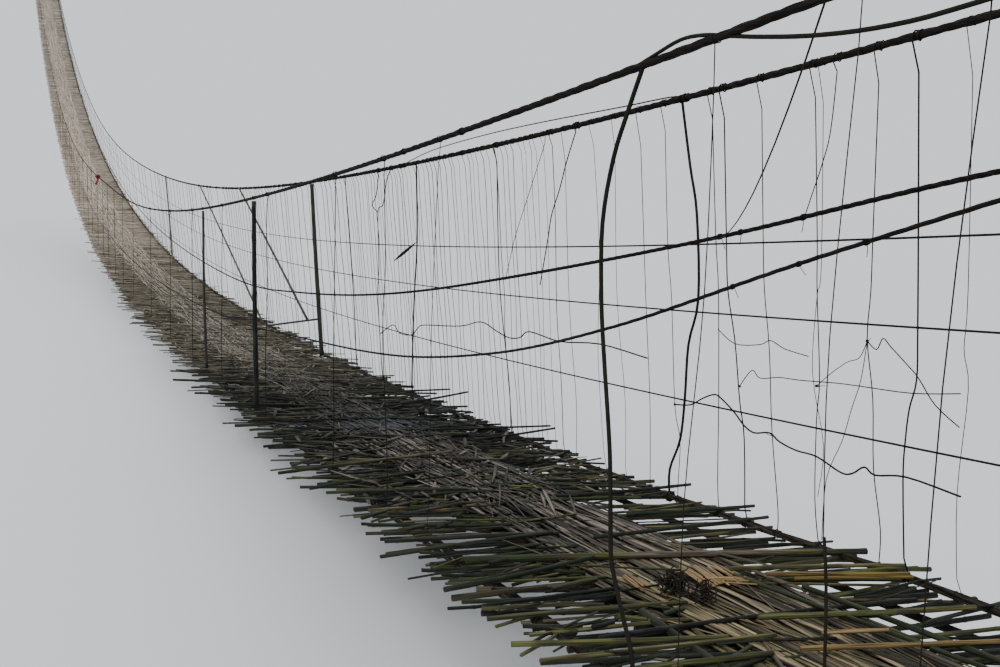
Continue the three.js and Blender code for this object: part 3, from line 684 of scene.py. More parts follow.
class Draft:
    """Vertices and faces of a mesh under construction, with each point's grain and tint."""

    def __init__(self):
        self.verts = []
        self.faces = []
        self.grain = []
        self.tint = []

    def point(self, place, grain, tint=0.5):
        self.verts.append(Vector(place))
        self.grain.append(grain)
        self.tint.append(tint)

    def skin(self, first, rings, sides, turn=1):
        """Faces round rings of points, with an end face on both. turn is -1 where the rings run backwards."""
        for ring in range(rings - 1):
            for corner in range(sides):
                a = first + ring * sides + corner
                b = first + ring * sides + (corner + 1) % sides
                self.faces.append((a, *(b, b + sides, a + sides)[::turn]))
        last = first + (rings - 1) * sides
        self.faces.append(tuple(range(first, first + sides))[::-turn])
        self.faces.append(tuple(range(last, last + sides))[::turn])

    def tube(self, centres, radius, sides, tint=0.5, up=(0, 0, 1), seed=0.0):
        """A closed tube. Its radius is a number, a list with one for each centre, or radius(share, angle).

        Its tint is a number or such a list. The seed shifts its grain.
        """
        first = len(self.verts)
        along = 0.0
        total = sum((b - a).length for a, b in zip(centres, centres[1:]))
        side_way = None
        for index, centre in enumerate(centres):
            before = centres[max(index - 1, 0)]
            after = centres[min(index + 1, len(centres) - 1)]
            axis = (after - before).normalized()
            if side_way is None:
                nearly_up = abs(axis.dot(Vector(up))) > 0.95
                side_way = axis.cross(Vector((0, 1, 0) if nearly_up else up))
            side_way = (side_way - axis * side_way.dot(axis)).normalized()
            other_way = axis.cross(side_way)
            if index:
                along += (centre - before).length
            shade = tint[index] if isinstance(tint, list) else tint
            for corner in range(sides):
                angle = math.tau * corner / sides
                size = radius[index] if isinstance(radius, list) else radius
                if callable(radius):
                    size = radius(along / total, angle)
                out = side_way * math.cos(angle) + other_way * math.sin(angle)
                self.point(centre + out * size, round_place(angle, size, along + seed), shade)
        self.skin(first, len(centres), sides)

    def mesh(self, name):
        mesh = bpy.data.meshes.new(name)
        mesh.from_pydata(self.verts, [], self.faces)
        mesh.attributes.new("grain", "FLOAT_VECTOR", "POINT").data.foreach_set(
            "vector", [value for grain in self.grain for value in grain])
        return mesh

    def piece(self, name, material):
        """The draft as an object of the model's size."""
        mesh = self.mesh(name)
        mesh.attributes.new("tint", "FLOAT", "POINT").data.foreach_set("value", self.tint)
        mesh.transform(Matrix.Scale(METRE, 4))
        mesh.materials.append(material)
        return new_object(name, mesh)


def path_object(paths):
    """Paths as edges. Each is (points, thickness, tint), with an optional turn for each point."""
    verts, edges, thickness, tint, twist = [], [], [], [], []
    for points, size, shade, *turns in paths:
        first = len(verts)
        verts.extend(points)
        edges.extend((first + index, first + index + 1) for index in range(len(points) - 1))
        thickness.extend([size] * len(points))
        tint.extend([shade] * len(points))
        twist.extend(turns[0] if turns else [0.0] * len(points))
    mesh = bpy.data.meshes.new("path")
    mesh.from_pydata(verts, edges, [])
    for label, values in (("thickness", thickness), ("tint", tint), ("twist", twist)):
        mesh.attributes.new(label, "FLOAT", "POINT").data.foreach_set("value", values)
    return new_object("path", mesh)


def spot_object(spots):
    """Points for lashings. Each spot is (place, direction of the rope, size along, size across, roll)."""
    mesh = bpy.data.meshes.new("spots")
    mesh.from_pydata([spot[0] for spot in spots], [], [])
    turns, sizes = [], []
    for _, direction, along, across, roll in spots:
        turn = Vector((1, 0, 0)).rotation_difference(Vector(direction).normalized())
        rolled = turn.to_matrix() @ Matrix.Rotation(roll, 3, "X")
        turns.extend(rolled.to_euler())
        sizes.extend((along, across, across))
    for label, values in (("turn", turns), ("size", sizes)):
        mesh.attributes.new(label, "FLOAT_VECTOR", "POINT").data.foreach_set("vector", values)
    return new_object("spots", mesh)


def prototypes(name, meshes):
    """A collection, outside the scene, of the pieces that a tree picks from."""
    collection = bpy.data.collections.new(name)
    for index, mesh in enumerate(meshes):
        new_object(f"{name}_{index + 1:02}", mesh, collection)
    return collection


def drop(collection):
    for piece in list(collection.objects):
        bpy.data.objects.remove(piece)
    bpy.data.collections.remove(collection)


# Prototypes


def bamboo_pole(rng, length, radius, sides, spacing):
    """A pole along Y with a ridge at each joint, a little bent and thinner to one end."""
    draft = Draft()
    ridge = ((-0.012, 0.97), (0, 1.13), (0.012, 0.95))
    stops = [(-length / 2, 1.0)]
    place = -length / 2 + spacing * rng.uniform(0.3, 1.0)
    while place < length / 2 - 0.05:
        stops.extend((place + shift, size) for shift, size in ridge)
        place += spacing * rng.uniform(0.85, 1.2)
    stops.append((length / 2, 1.0))
    bend = [rng.uniform(-0.012, 0.012) * min(length, 1) for _ in range(4)]
    taper = rng.uniform(0.02, 0.2)
    centres, sizes = [], []
    for at, size in stops:
        share = at / length + 0.5
        bow = math.sin(math.pi * share)
        wave = math.sin(math.tau * share)
        centres.append(Vector((bend[0] * bow + bend[1] * wave, at, bend[2] * bow + bend[3] * wave)))
        sizes.append(radius * size * (1 + taper * (0.5 - share)))
    draft.tube(centres, sizes, sides, seed=rng.uniform(0, 40))
    return draft.mesh("bamboo_pole")


def split_strip(rng, length, width, thickness, steps):
    """A strip of split bamboo along Y, arched across, with ragged ends."""
    draft = Draft()
    seed = rng.uniform(0, 40)
    bend = rng.uniform(-0.03, 0.03) * min(length, 1) ** 2
    lift = [rng.uniform(-0.004, 0.004) for _ in range(steps + 1)]
    section = ((-1, 0), (-0.45, 0.8), (0.45, 0.8), (1, 0), (0.45, -0.3), (-0.45, -0.3))
    for step in range(steps + 1):
        share = step / steps
        at = (share - 0.5) * length
        ragged = step in (0, steps)
        narrow = 0.55 if ragged else rng.uniform(0.92, 1.05)
        for across, high in section:
            x = across * width / 2
            z = high * thickness
            place = (x * narrow + bend * math.sin(math.pi * share),
                     at + (rng.uniform(-0.03, 0.03) if ragged else 0), z + lift[step])
            draft.point(place, (x, z, at + seed))
    draft.skin(0, steps + 1, len(section), -1)
    return draft.mesh("split_strip")


def coil(rng, turns, sides, steps, radius, cord, spread, tails=0):
    """Turns of thin rope round the X axis, with loose ends hanging from them."""
    draft = Draft()
    count = int(turns * steps)
    points = []
    for step in range(count + 1):
        angle = math.tau * step / steps
        reach = radius * rng.uniform(0.97, 1.06)
        along = (step / count - 0.5) * spread
        points.append(Vector((along, math.cos(angle) * reach, math.sin(angle) * reach)))
    draft.tube(points, cord, sides, up=(1, 0, 0), seed=rng.uniform(0, 9))
    for _ in range(tails):
        start = Vector((rng.uniform(-0.4, 0.4) * spread, 0, -radius))
        sway = Vector((rng.uniform(-1, 1), rng.uniform(-1, 1), 0)) * min(cord, 0.2)
        tail = [start + Vector((0, 0, -radius * 1.4 * part)) + sway * part * (part + 1) for part in range(4)]
        draft.tube(tail, cord * 0.8, 4, seed=rng.uniform(0, 9))
    return draft.mesh("coil")


# Materials


def colour(value):
    """A display colour given as red, green and blue from 0 to 255, as the shader reads it."""
    parts = [part / 255 for part in value]
    return (*(part / 12.92 if part <= 0.04045 else ((part + 0.055) / 1.055) ** 2.4 for part in parts), 1.0)


def ramp(tree, value, stops):
    node = tree.add("ShaderNodeValToRGB", value)
    band = node.color_ramp
    for element, (place, tone) in zip(band.elements, (stops[0], stops[-1])):
        element.position = place
        element.color = colour(tone)
    for place, tone in stops[1:-1]:
        band.elements.new(place).color = colour(tone)
    return node.outputs["Color"]


def blended(tree, share, first, second, mode="MIX"):
    return tree.add("ShaderNodeMix", share, first, second, data_type="RGBA", blend_type=mode)


def grain_noise(tree, along, across, detail=4.0):
    """Noise drawn out along a pole, strip or strand."""
    grain = tree.add("ShaderNodeAttribute", attribute_name="grain").outputs["Vector"]
    stretched = tree.vector("MULTIPLY", grain, (across, across, along))
    return tree.add("ShaderNodeTexNoise", stretched, None, 1.0, detail, 0.6)


def tint_value(tree):
    return tree.add("ShaderNodeAttribute", attribute_name="tint").outputs["Fac"]


def object_place(tree):
    return tree.add("ShaderNodeTexCoord").outputs["Object"]


def far_out(tree, start, end, near_value=0.0, far_value=1.0):
    """Changes from one value to the other between two real distances from the near sill."""
    distance = tree.over(tree.split(object_place(tree))[0], METRE)
    return tree.ease(distance, start, end, near_value, far_value)


def mottled(tree, base):
    """A colour with the darker and paler patches of dirt and wear, which grow with the distance."""
    place = object_place(tree)
    small, large = (tree.add("ShaderNodeTexNoise", place, None, scale, 3.0, 0.65) for scale in (70.0, 18.0))
    patches = tree.add("ShaderNodeMapRange", far_out(tree, 14, 32), 0.0, 1.0, small, large)
    tone = ramp(tree, patches, ((0.38, (178, 178, 178)), (0.6, (255, 255, 255))))
    return blended(tree, 1.0, base, tone, "MULTIPLY")


def tones_along(tree, nearest, *further):
    """Tones that follow one another along the walkway, each a ramp from the darkest piece to the palest.

    Each further one is (start of the change, its end, ramp).
    """
    tint = tint_value(tree)
    base = ramp(tree, tint, nearest)
    for start, end, stops in further:
        base = blended(tree, far_out(tree, start, end), base, ramp(tree, tint, stops))
    return mottled(tree, base)


def worn(tree, base, fibres, low, high, tone):
    """A colour darkened by a tone in the hollows between its fibres."""
    dark = blended(tree, 1.0, base, colour(tone), "MULTIPLY")
    return blended(tree, tree.ease(fibres, low, high), dark, base)


def grimy(tree, base, grime, patches, low, near_share, far_share, end):
    """A colour with dark dirt in patches, partly painted shade: there are more of them in the shade of the
    near bank and fewer beyond it.
    """
    shade = far_out(tree, 12, end, near_share, far_share)
    return blended(tree, tree.times(tree.ease(patches, low, 0.66), shade), base, grime)


def surface(tree, base, relief, roughness, strength, distance, gloss=0.25):
    """Sets the colour and the roughness, and raises the surface by the relief."""
    inputs = tree.shader.inputs
    tree.feed(inputs["Base Color"], base)
    inputs["Roughness"].default_value = roughness
    inputs["Specular IOR Level"].default_value = gloss
    bump = tree.add("ShaderNodeBump", strength, distance)
    tree.feed(bump.inputs["Height"], relief)
    tree.feed(inputs["Normal"], bump)


def weathered_bamboo(tree, finish):
    """Weathered cross poles, with painted light along the walkway: olive in painted shade near the sill,
    darker painted shade further out, and grey straw in painted sunlight beyond.
    """
    near = (
        (0.0, (13, 14, 8)), (0.25, (27, 38, 17)), (0.4, (44, 46, 38)), (0.55, (54, 68, 28)),
        (0.68, (66, 59, 45)), (0.8, (88, 94, 43)), (0.92, (112, 107, 68)), (1.0, (108, 97, 84)),
    )
    shaded = (
        (0.0, (9, 11, 7)), (0.4, (19, 24, 15)), (0.7, (33, 39, 26)), (0.9, (55, 58, 41)),
        (0.98, (74, 73, 55)), (1.0, (120, 110, 86)),
    )
    sunlit = ((0.0, (48, 45, 37)), (0.4, (90, 85, 71)), (0.8, (134, 126, 107)), (1.0, (174, 164, 140)))
    far = ((0.0, (172, 157, 141)), (0.5, (218, 201, 182)), (1.0, (254, 240, 220)))
    # Painted light: shade over the near stretch, deepest from 4.5 m, then sunlight from 8.5 m, palest far out
    base = tones_along(tree, near, (4.5, 7, shaded), (8.5, 13.5, sunlit), (16, 48, far))
    streaks = grain_noise(tree, along=1.4, across=60.0)
    base = worn(tree, base, streaks, 0.35, 0.7, (150, 146, 138))
    patches = grain_noise(tree, along=2.2, across=6.0, detail=2.0)
    # Dirt patches, thicker near the sill as painted shade
    base = grimy(tree, base, finish.grime, patches, low=0.5, near_share=0.6, far_share=0.15, end=22)
    surface(tree, base, streaks, roughness=0.78, strength=0.35, distance=0.0004)


def fibrous_bamboo(tree, finish):
    """Split bamboo strips, fibrous and grey brown, with a bluish stain on their darkest stretch. Their tones
    along the walkway are painted light: shade near the sill, sunlight from 8.5 m on.
    """
    near = (
        (0.0, (15, 13, 8)), (0.15, (50, 46, 34)), (0.28, (106, 91, 76)), (0.4, (78, 84, 51)),
        (0.52, (132, 114, 84)), (0.64, (104, 97, 85)), (0.76, (116, 117, 72)), (0.88, (158, 139, 105)),
        (1.0, (178, 163, 130)),
    )
    middle = (
        (0.0, (18, 17, 14)), (0.25, (56, 53, 46)), (0.4, (92, 80, 76)), (0.55, (84, 83, 70)),
        (0.75, (124, 112, 104)), (1.0, (158, 146, 132)),
    )
    shaded = (
        (0.0, (24, 24, 21)), (0.35, (44, 43, 39)), (0.6, (64, 60, 58)), (0.8, (84, 82, 75)),
        (1.0, (112, 107, 100)),
    )
    sunlit = ((0.0, (102, 97, 87)), (0.5, (148, 141, 126)), (1.0, (196, 187, 168)))
    far = ((0.0, (178, 163, 148)), (0.5, (222, 205, 188)), (1.0, (255, 244, 227)))
    # Painted light: shade over the near stretch, deepest from 6 m, then sunlight from 8.5 m, palest far out
    base = tones_along(tree, near, (2.6, 4, middle), (6, 8, shaded), (8.5, 14, sunlit), (15, 45, far))
    aside = tree.vector("SUBTRACT", tree.vector("MULTIPLY", object_place(tree), (1, 1, 0)),
                        (STAIN_PLACE[0] * METRE, STAIN_PLACE[1] * METRE, 0))
    stain = tree.ease(tree.vector("LENGTH", aside), 0, STAIN_REACH * METRE, 0.6, 0.0)
    base = blended(tree, stain, base, colour((58, 62, 78)))
    fibres = grain_noise(tree, along=1.0, across=140.0)
    base = worn(tree, base, fibres, 0.3, 0.62, (140, 134, 126))
    patches = grain_noise(tree, along=1.1, across=3.0, detail=3.0)
    # Dirt patches, thicker near the sill as painted shade
    base = grimy(tree, base, finish.grime, patches, low=0.45, near_share=0.7, far_share=0.2, end=25)
    surface(tree, base, fibres, roughness=0.85, strength=0.5, distance=0.0003)


def fresh_bamboo(tree, _):
    """Fresh split bamboo: yellow, or orange where the tone is high."""
    base = ramp(tree, tint_value(tree), ((0.0, (114, 98, 38)), (0.4, (116, 97, 54)), (1.0, (158, 127, 90))))
    fibres = grain_noise(tree, along=1.2, across=90.0)
    surface(tree, worn(tree, base, fibres, 0.3, 0.65, (130, 122, 108)), fibres,
            roughness=0.7, strength=0.4, distance=0.0003)


def red_cloth(tree, _):
    """Faded red cloth."""
    folds = grain_noise(tree, along=9.0, across=9.0)
    surface(tree, ramp(tree, folds, ((0.35, (84, 18, 28)), (0.65, (150, 52, 62)))), folds,
            roughness=0.9, strength=0.4, distance=0.0004)


def dark_fibre(tree, base, light, strength):
    """Dark twisted fibre, or wire when its two tones are close."""
    fibres = grain_noise(tree, along=6.0, across=220.0)
    patches = grain_noise(tree, along=0.5, across=8.0, detail=3.0)
    share = tree.times(tree.ease(fibres, 0.4, 0.7), tree.ease(patches, 0.3, 0.7, 0.35, 1.0))
    surface(tree, blended(tree, share, base, light), fibres,
            roughness=0.86, strength=strength, distance=0.0003, gloss=0.08)


def twisted_rope(tree, finish):
    dark_fibre(tree, finish.rope, finish.rope_light, 0.6)


def thin_wire(tree, finish):
    dark_fibre(tree, finish.wire, finish.rope_light, 0.3)


def brown_cane(tree, finish):
    dark_fibre(tree, finish.cane, finish.cane_light, 0.6)


def cracked_log(tree, finish):
    """Weathered log: long cracks in grey brown wood, with remains of dark bark."""
    cracks = grain_noise(tree, along=1.1, across=26.0, detail=6.0)
    patches = grain_noise(tree, along=0.8, across=2.5, detail=3.0)
    wood = ramp(tree, cracks, (
        (0.28, (48, 40, 32)), (0.45, (94, 83, 68)), (0.6, (116, 103, 86)), (0.8, (136, 123, 104))))
    bark = tree.times(tree.ease(patches, 0.5, 0.66), 0.75)
    surface(tree, blended(tree, bark, wood, finish.bark), cracks,
            roughness=0.88, strength=0.7, distance=0.0012)


def pale_floor(tree, stage):
    """Plain, in the tone that makes the lit floor as bright as the surroundings."""
    sun = sum(strength * math.sin(math.radians(height)) for _, _, height, strength, _ in SUNS) / math.pi
    sky = [stage.sky_strength * part for part in stage.sky]
    tree.shader.inputs["Base Color"].default_value = (*(part / (part + sun) for part in sky), 1.0)
    tree.shader.inputs["Roughness"].default_value = 1.0
    tree.shader.inputs["Specular IOR Level"].default_value = 0.0


def material_of(finish, settings):
    """The material of a finish above, made the first time that a piece asks for it.

    The finishes' names differ from those of the part's own materials, which the frame has loaded.
    """
    material = bpy.data.materials.get(finish.__name__)
    if material is None:
        material = bpy.data.materials.new(finish.__name__)
        material.use_nodes = True
        tree = Tree(material.node_tree)
        tree.shader = material.node_tree.nodes["Principled BSDF"]
        finish(tree, settings)
    return material


# Settings


def real_length(label, about, usual, low, high):
    return FloatProperty(
        name=label, description=f"{about}, in real metres", default=usual, min=low, max=high, unit="LENGTH")


def finish_colour(label, about, *usual):
    return FloatVectorProperty(
        name=label, description=about, default=(*usual, 1.0), min=0, max=1, size=4, subtype="COLOR")


class WalkwaySettings(PropertyGroup):
    pole_length: real_length("Pole Length", "Usual length of a cross pole", 2.2, 1.8, 2.8)
    pole_radius: real_length("Pole Radius", "Usual radius of a cross pole", 0.0115, 0.006, 0.03)
    pole_pitch: real_length("Pole Pitch", "Distance from one cross pole to the next", 0.056, 0.04, 0.3)
    strip_length: real_length("Strip Length", "Usual length of a split bamboo strip", 2.0, 0.8, 4)
    strip_width: real_length("Strip Width", "Usual width of a split bamboo strip", 0.027, 0.015, 0.08)


class RopeSettings(PropertyGroup):
    left_cable_radius: real_length(
        "Left Cable Radius", "Radius of the left upper cable", CABLE_RADIUS["left"], 0.008, 0.04)
    right_cable_radius: real_length(
        "Right Cable Radius", "Radius of the right upper cable", CABLE_RADIUS["right"], 0.008, 0.04)
    left_hand_radius: real_length(
        "Left Hand Rope Radius", "Radius of the left hand rope", HAND_ROPE_RADIUS["left"], 0.004, 0.03)
    right_hand_radius: real_length(
        "Right Hand Rope Radius", "Radius of the right hand rope", HAND_ROPE_RADIUS["right"], 0.004, 0.03)
    side_rope_radius: real_length("Side Rope Radius", "Radius of a thin side rope", 0.006, 0.002, 0.02)
    strands: IntProperty(
        name="Strands", description="Strands that a laid rope is twisted from", default=3, min=2, max=6)
    relief: FloatProperty(
        name="Relief", description="How far the strands of a rope stand out, as a share of its radius",
        default=0.3, min=0.1, max=0.6, subtype="FACTOR")


class FinishSettings(PropertyGroup):
    # This colour of dirt also paints the shade of the near bank, in the patches near the sill
    grime: finish_colour("Grime", "Colour of damp and dirty bamboo", 0.02, 0.018, 0.012)
    rope: finish_colour("Rope", "Colour of the dark ropes", 0.006, 0.005, 0.004)
    rope_light: finish_colour("Rope Fibres", "Colour of the worn fibres on the ropes", 0.022, 0.018, 0.014)
    wire: finish_colour("Wire", "Colour of the thin wires and vines", 0.010, 0.010, 0.007)
    cane: finish_colour("Cane", "Colour of the canes along the walkway's edges", 0.010, 0.008, 0.006)
    cane_light: finish_colour("Cane Fibres", "Colour of the worn fibres on the canes", 0.062, 0.050, 0.038)
    bark: finish_colour("Bark", "Colour of the bark left on the logs", 0.03, 0.023, 0.016)


class StageSettings(PropertyGroup):
    sky: FloatVectorProperty(
        name="Surroundings", description="Colour of the light all round", default=(0.86, 0.9, 0.94),
        min=0, max=1, size=3, subtype="COLOR")
    sky_strength: FloatProperty(
        name="Strength", description="Strength of the light all round", default=1.1, min=0, max=10)
    lens: FloatProperty(
        name="Lens", description="Focal length of the camera in millimetres", default=CAMERA_LENS,
        min=10, max=200, unit="CAMERA")


# Paths


def stretch_steps(start, end, steps):
    """Distances from start to end. Each of the steps is (how far out it is used, its length)."""
    shortest = 0.02
    places = [start]
    while places[-1] < end:
        step = next(size for limit, size in steps if places[-1] < limit)
        places.append(min(places[-1] + step, end))
    if len(places) > 2 and places[-1] - places[-2] < shortest:
        places.pop(-2)
    return places


def wound(centre, axis, radius, start, turns, advance, steps=12):
    """Turns of rope round a log or post, from the direction start."""
    axis = Vector(axis).normalized()
    start = (Vector(start) - axis * Vector(start).dot(axis)).normalized()
    other = axis.cross(start)
    count = max(int(abs(turns) * steps), 2)
    points = []
    for step in range(count + 1):
        angle = math.tau * turns * step / count
        shift = axis * advance * step / count
        points.append(Vector(centre) + shift + (start * math.cos(angle) + other * math.sin(angle)) * radius)
    return points


def turned(points, turn_length):
    """How far a rope has turned at each of its points. Coarse steps make its turns longer."""
    fewest_steps = 7
    turns = [0.0]
    for before, after in zip(points, points[1:]):
        step = (after - before).length
        turns.append(turns[-1] + math.tau * step / max(turn_length, fewest_steps * step))
    return turns


def cable_path(side):
    """Wound round the near anchor log, over both head beams and round the far anchor log."""
    y = CABLE_Y[side]
    radius = CABLE_RADIUS[side]
    reach = BEAM_RADIUS + radius + SEAT_GAP
    turns, advance = CABLE_TURNS
    past_beam = 0.25
    beam_steps = 8
    stretches = []
    for end, x, base, outward in ENDS:
        beam = beam_height(side, x)
        log = Vector((x + outward * ANCHOR_DISTANCE, y, base + ANCHOR_RADIUS))
        stay_angle = math.atan2(beam + reach - log.z, ANCHOR_DISTANCE)
        over = []
        for step in range(beam_steps + 1):
            angle = mix(-stay_angle, past_beam, step / beam_steps)
            over.append(Vector((x - outward * reach * math.sin(angle), y, beam + reach * math.cos(angle))))
        direction = (over[0] - log).normalized()
        upward = Vector((-direction.z, 0, direction.x)) * -outward
        ring = wound(log, (0, -1, 0), ANCHOR_RADIUS + radius, upward, turns, -SIGN[side] * advance,
                     steps=14)
        stretch = [*ring[::-1], *along_line(ring[0], over[0], 12)[1:-1], *over]
        stretches.append(stretch if end == "near" else stretch[::-1])
    start = stretches[0][-1].x + 0.05
    end = stretches[1][0].x - 0.05
    span = [Vector((x, y, cable_height(side, x)))
            for x in stretch_steps(start, end, ((16, 0.035), (30, 0.06), (60, 0.12), (SPAN, 0.3)))]
    return [*stretches[0], *span, *stretches[1]]


def flared_path(y, height_at, radius, steps):
    """A rope that leaves the span for the portal posts and is wound round them."""
    span = [Vector((x, y, height_at(x))) for x in stretch_steps(FLARE, SPAN - FLARE, steps)]
    # The height of the ropes, as a share of the post's height, and the turn to where they touch it first
    height_share = 0.6
    touch_turn = 1.1
    hold = mix(*POST_RADIUS, height_share) + radius + SEAT_GAP
    for end, x, _, outward in ENDS:
        post = Vector((x, math.copysign(POST_Y, y), height_at(x)))
        tip = span[0] if end == "near" else span[-1]
        turn = math.copysign(1, y) * -outward
        way = Vector((tip.x - post.x, tip.y - post.y, 0)).normalized()
        first_touch = Matrix.Rotation(turn * -touch_turn, 3, "Z") @ way
        ring = wound(post, (0, 0, 1), hold, first_touch, turn * -POST_TURNS, -3 * radius * POST_TURNS)
        lead = along_line(tip, ring[0], 6)[1:-1]
        if end == "near":
            span = [*reversed(ring), *reversed(lead), *span]
        else:
            span = [*span, *lead, *ring]
    return span


def deck_rope_path(side):
    """A stringer under the cross poles, over both sills and down to the anchor logs."""
    y = SIGN[side] * DECK_ROPE_Y
    past = SILL_TOP_HALF + 0.03
    radius = DECK_ROPE_RADIUS
    turns, advance = DECK_ROPE_TURNS
    near_height = SILL_HEIGHT + LEAN_AT_SILL * y + radius + 2 * SEAT_GAP
    far_height = deck_top(SPAN - SILL_TOP_HALF, y) - DECK_ROPE_DROP
    span = [on_deck(x, y, -DECK_ROPE_DROP)
            for x in stretch_steps(SILL_TOP_HALF, SPAN - SILL_TOP_HALF, ((30, 0.06), (SPAN, 0.15)))]
    leads = (Vector((-past, y, near_height)), Vector((SPAN + past, y, far_height + 0.04)))
    ends = []
    for lead, (_, x, base, outward) in zip(leads, ENDS):
        log = Vector((x + outward * ANCHOR_DISTANCE, y, base + ANCHOR_RADIUS))
        ring = wound(log, (0, outward, 0), ANCHOR_RADIUS + radius, (0, 0, 1), turns,
                     -SIGN[side] * outward * advance, steps=14)
        ends.append([*along_line(lead, ring[0], 8)[:-1], *ring])
    return [*reversed(ends[0]), *span, *ends[1]]


def smooth(points, steps):
    """A rounded curve through points, with the given number of steps from each to the next."""
    curve = []
    for index in range(len(points) - 1):
        before = points[max(index - 1, 0)]
        start, stop = points[index], points[index + 1]
        after = points[min(index + 2, len(points) - 1)]
        for step in range(steps):
            t = step / steps
            curve.append(0.5 * (2 * start + (stop - before) * t
                                + (2 * before - 5 * start + 4 * stop - after) * t ** 2
                                + (3 * start - before - 3 * stop + after) * t ** 3))
    curve.append(points[-1])
    return curve


def edge_place(side, x):
    """Middle of the bundle along the walkway's edge, which wanders a little."""
    y = EDGE_Y[side] + EDGE_WANDER * rough(x * 0.9, SIGN[side] * 3, 0)
    return Vector((x, y, deck_top(x, y) + EDGE_LIFT[side] + 0.3 * EDGE_WANDER * rough(x, 7, 5)))


def net_place(side, x, height):
    """A place in the net, at a height over the walkway's edge."""
    if height == CABLE:
        return Vector((x, CABLE_Y[side], cable_height(side, x)))
    foot = edge_place(side, x)
    if height == 0:
        return foot
    level = deck_top(x, EDGE_Y[side]) + height
    share = (level - foot.z) / (cable_height(side, x) - foot.z)
    return Vector((x, mix(foot.y, CABLE_Y[side], share), level))


def loop_round(side, place, core, radius, turns):
    """Turns of wire round a cable or bundle, from its top."""
    start = place - Vector((LOOP_SPREAD / 2, 0, 0))
    return wound(start, (1, 0, 0), core + radius, (0, 0, 1), SIGN[side] * turns, LOOP_SPREAD, steps=8)


def net_wire(side, radius, spots, steps=4, loops=1.6):
    """A wire through spots of a net, looped round the cable or bundle that it starts and ends on."""
    path = smooth([net_place(side, *spot) for spot in spots], steps)
    if not loops:
        return path
    cores = {CABLE: 0.97 * CABLE_RADIUS[side], 0: EDGE_RADIUS[side]}
    first, last = spots[0][1], spots[-1][1]
    if first in cores and radius < THICK_WIRE:
        path[:1] = loop_round(side, path[0], cores[first], radius, loops - 0.25)
    if last in cores:
        path[-1:] = loop_round(side, path[-1], cores[last], radius, -1.5)
    return path


def plain_wire(rng, side, x, radius, bends, steps, loops):
    """A wire that hangs from the cable to the walkway's edge with a few slight bends."""
    height = cable_height(side, x) - deck_top(x, EDGE_Y[side])
    sway = 0.012 * math.sqrt(bends)
    spots = [(x, CABLE)]
    for bend in range(1, bends):
        share = (bend + rng.uniform(-0.25, 0.25)) / bends
        spots.append((x + rng.uniform(-sway, sway), height * (1 - share)))
    spots.append((x + rng.uniform(-sway, sway), 0))
    return net_wire(side, radius, spots, steps, loops)


def cross_wire_path():
    """A slack wire from the left cable over the walkway to the right hand rope."""
    start, end, _, sag = CROSS_WIRE
    high = Vector((start, CABLE_Y["left"], cable_height("left", start)))
    low = Vector((end, -HAND_ROPE_Y, hand_rope_height("right", end)))
    steps = 12
    path = []
    for step, place in enumerate(along_line(high, low, steps)):
        share = step / steps
        path.append(place - Vector((0, 0, 4 * sag * share * (1 - share))))
    return path


def spreader_ends(side, x):
    head = Vector((x, CABLE_Y[side], cable_height(side, x) - HEAD_DROP))
    return on_deck(x, PROP_FOOT_Y[side], PROP_LIFT), head


def tie_pole_ends():
    """The tie pole's ends: on the walkway's edge, and against the first spreader post on the right."""
    place, radius = SPREADERS["right"][0]
    foot, head = spreader_ends("right", place)
    high = foot.lerp(head, TIE_POLE_HEIGHT / (head.z - foot.z)) + Vector((radius + 2 * SEAT_GAP, 0, 0))
    x, y = TIE_POLE_FOOT_PLACE, PROP_FOOT_Y["right"]
    return Vector((x, y, deck_top(x, y) + SEAT_GAP + TIE_POLE_RADIUS)), high


# Operators


def picked_from(rng, make, kinds):
    """A collection of prototypes for each kind, given as (how many, the sizes that its maker takes)."""
    return {kind: prototypes(kind, [make(rng, *sizes) for _ in range(count)])
            for kind, (count, *sizes) in kinds.items()}


def lay(name, tree, rows, slot, nodes):
    """Joins rows that a tree lays, each given by its sizes, into one piece."""
    parts = []
    for number, sizes in enumerate(rows):
        bare = path_object([([(0, 0, 0), (1, 0, 0)], 1.0, 0.5)])
        parts.append(grown(f"{name}_{number}", bare, tree, sizes))
    settle(joined(name, parts), slot, *nodes)


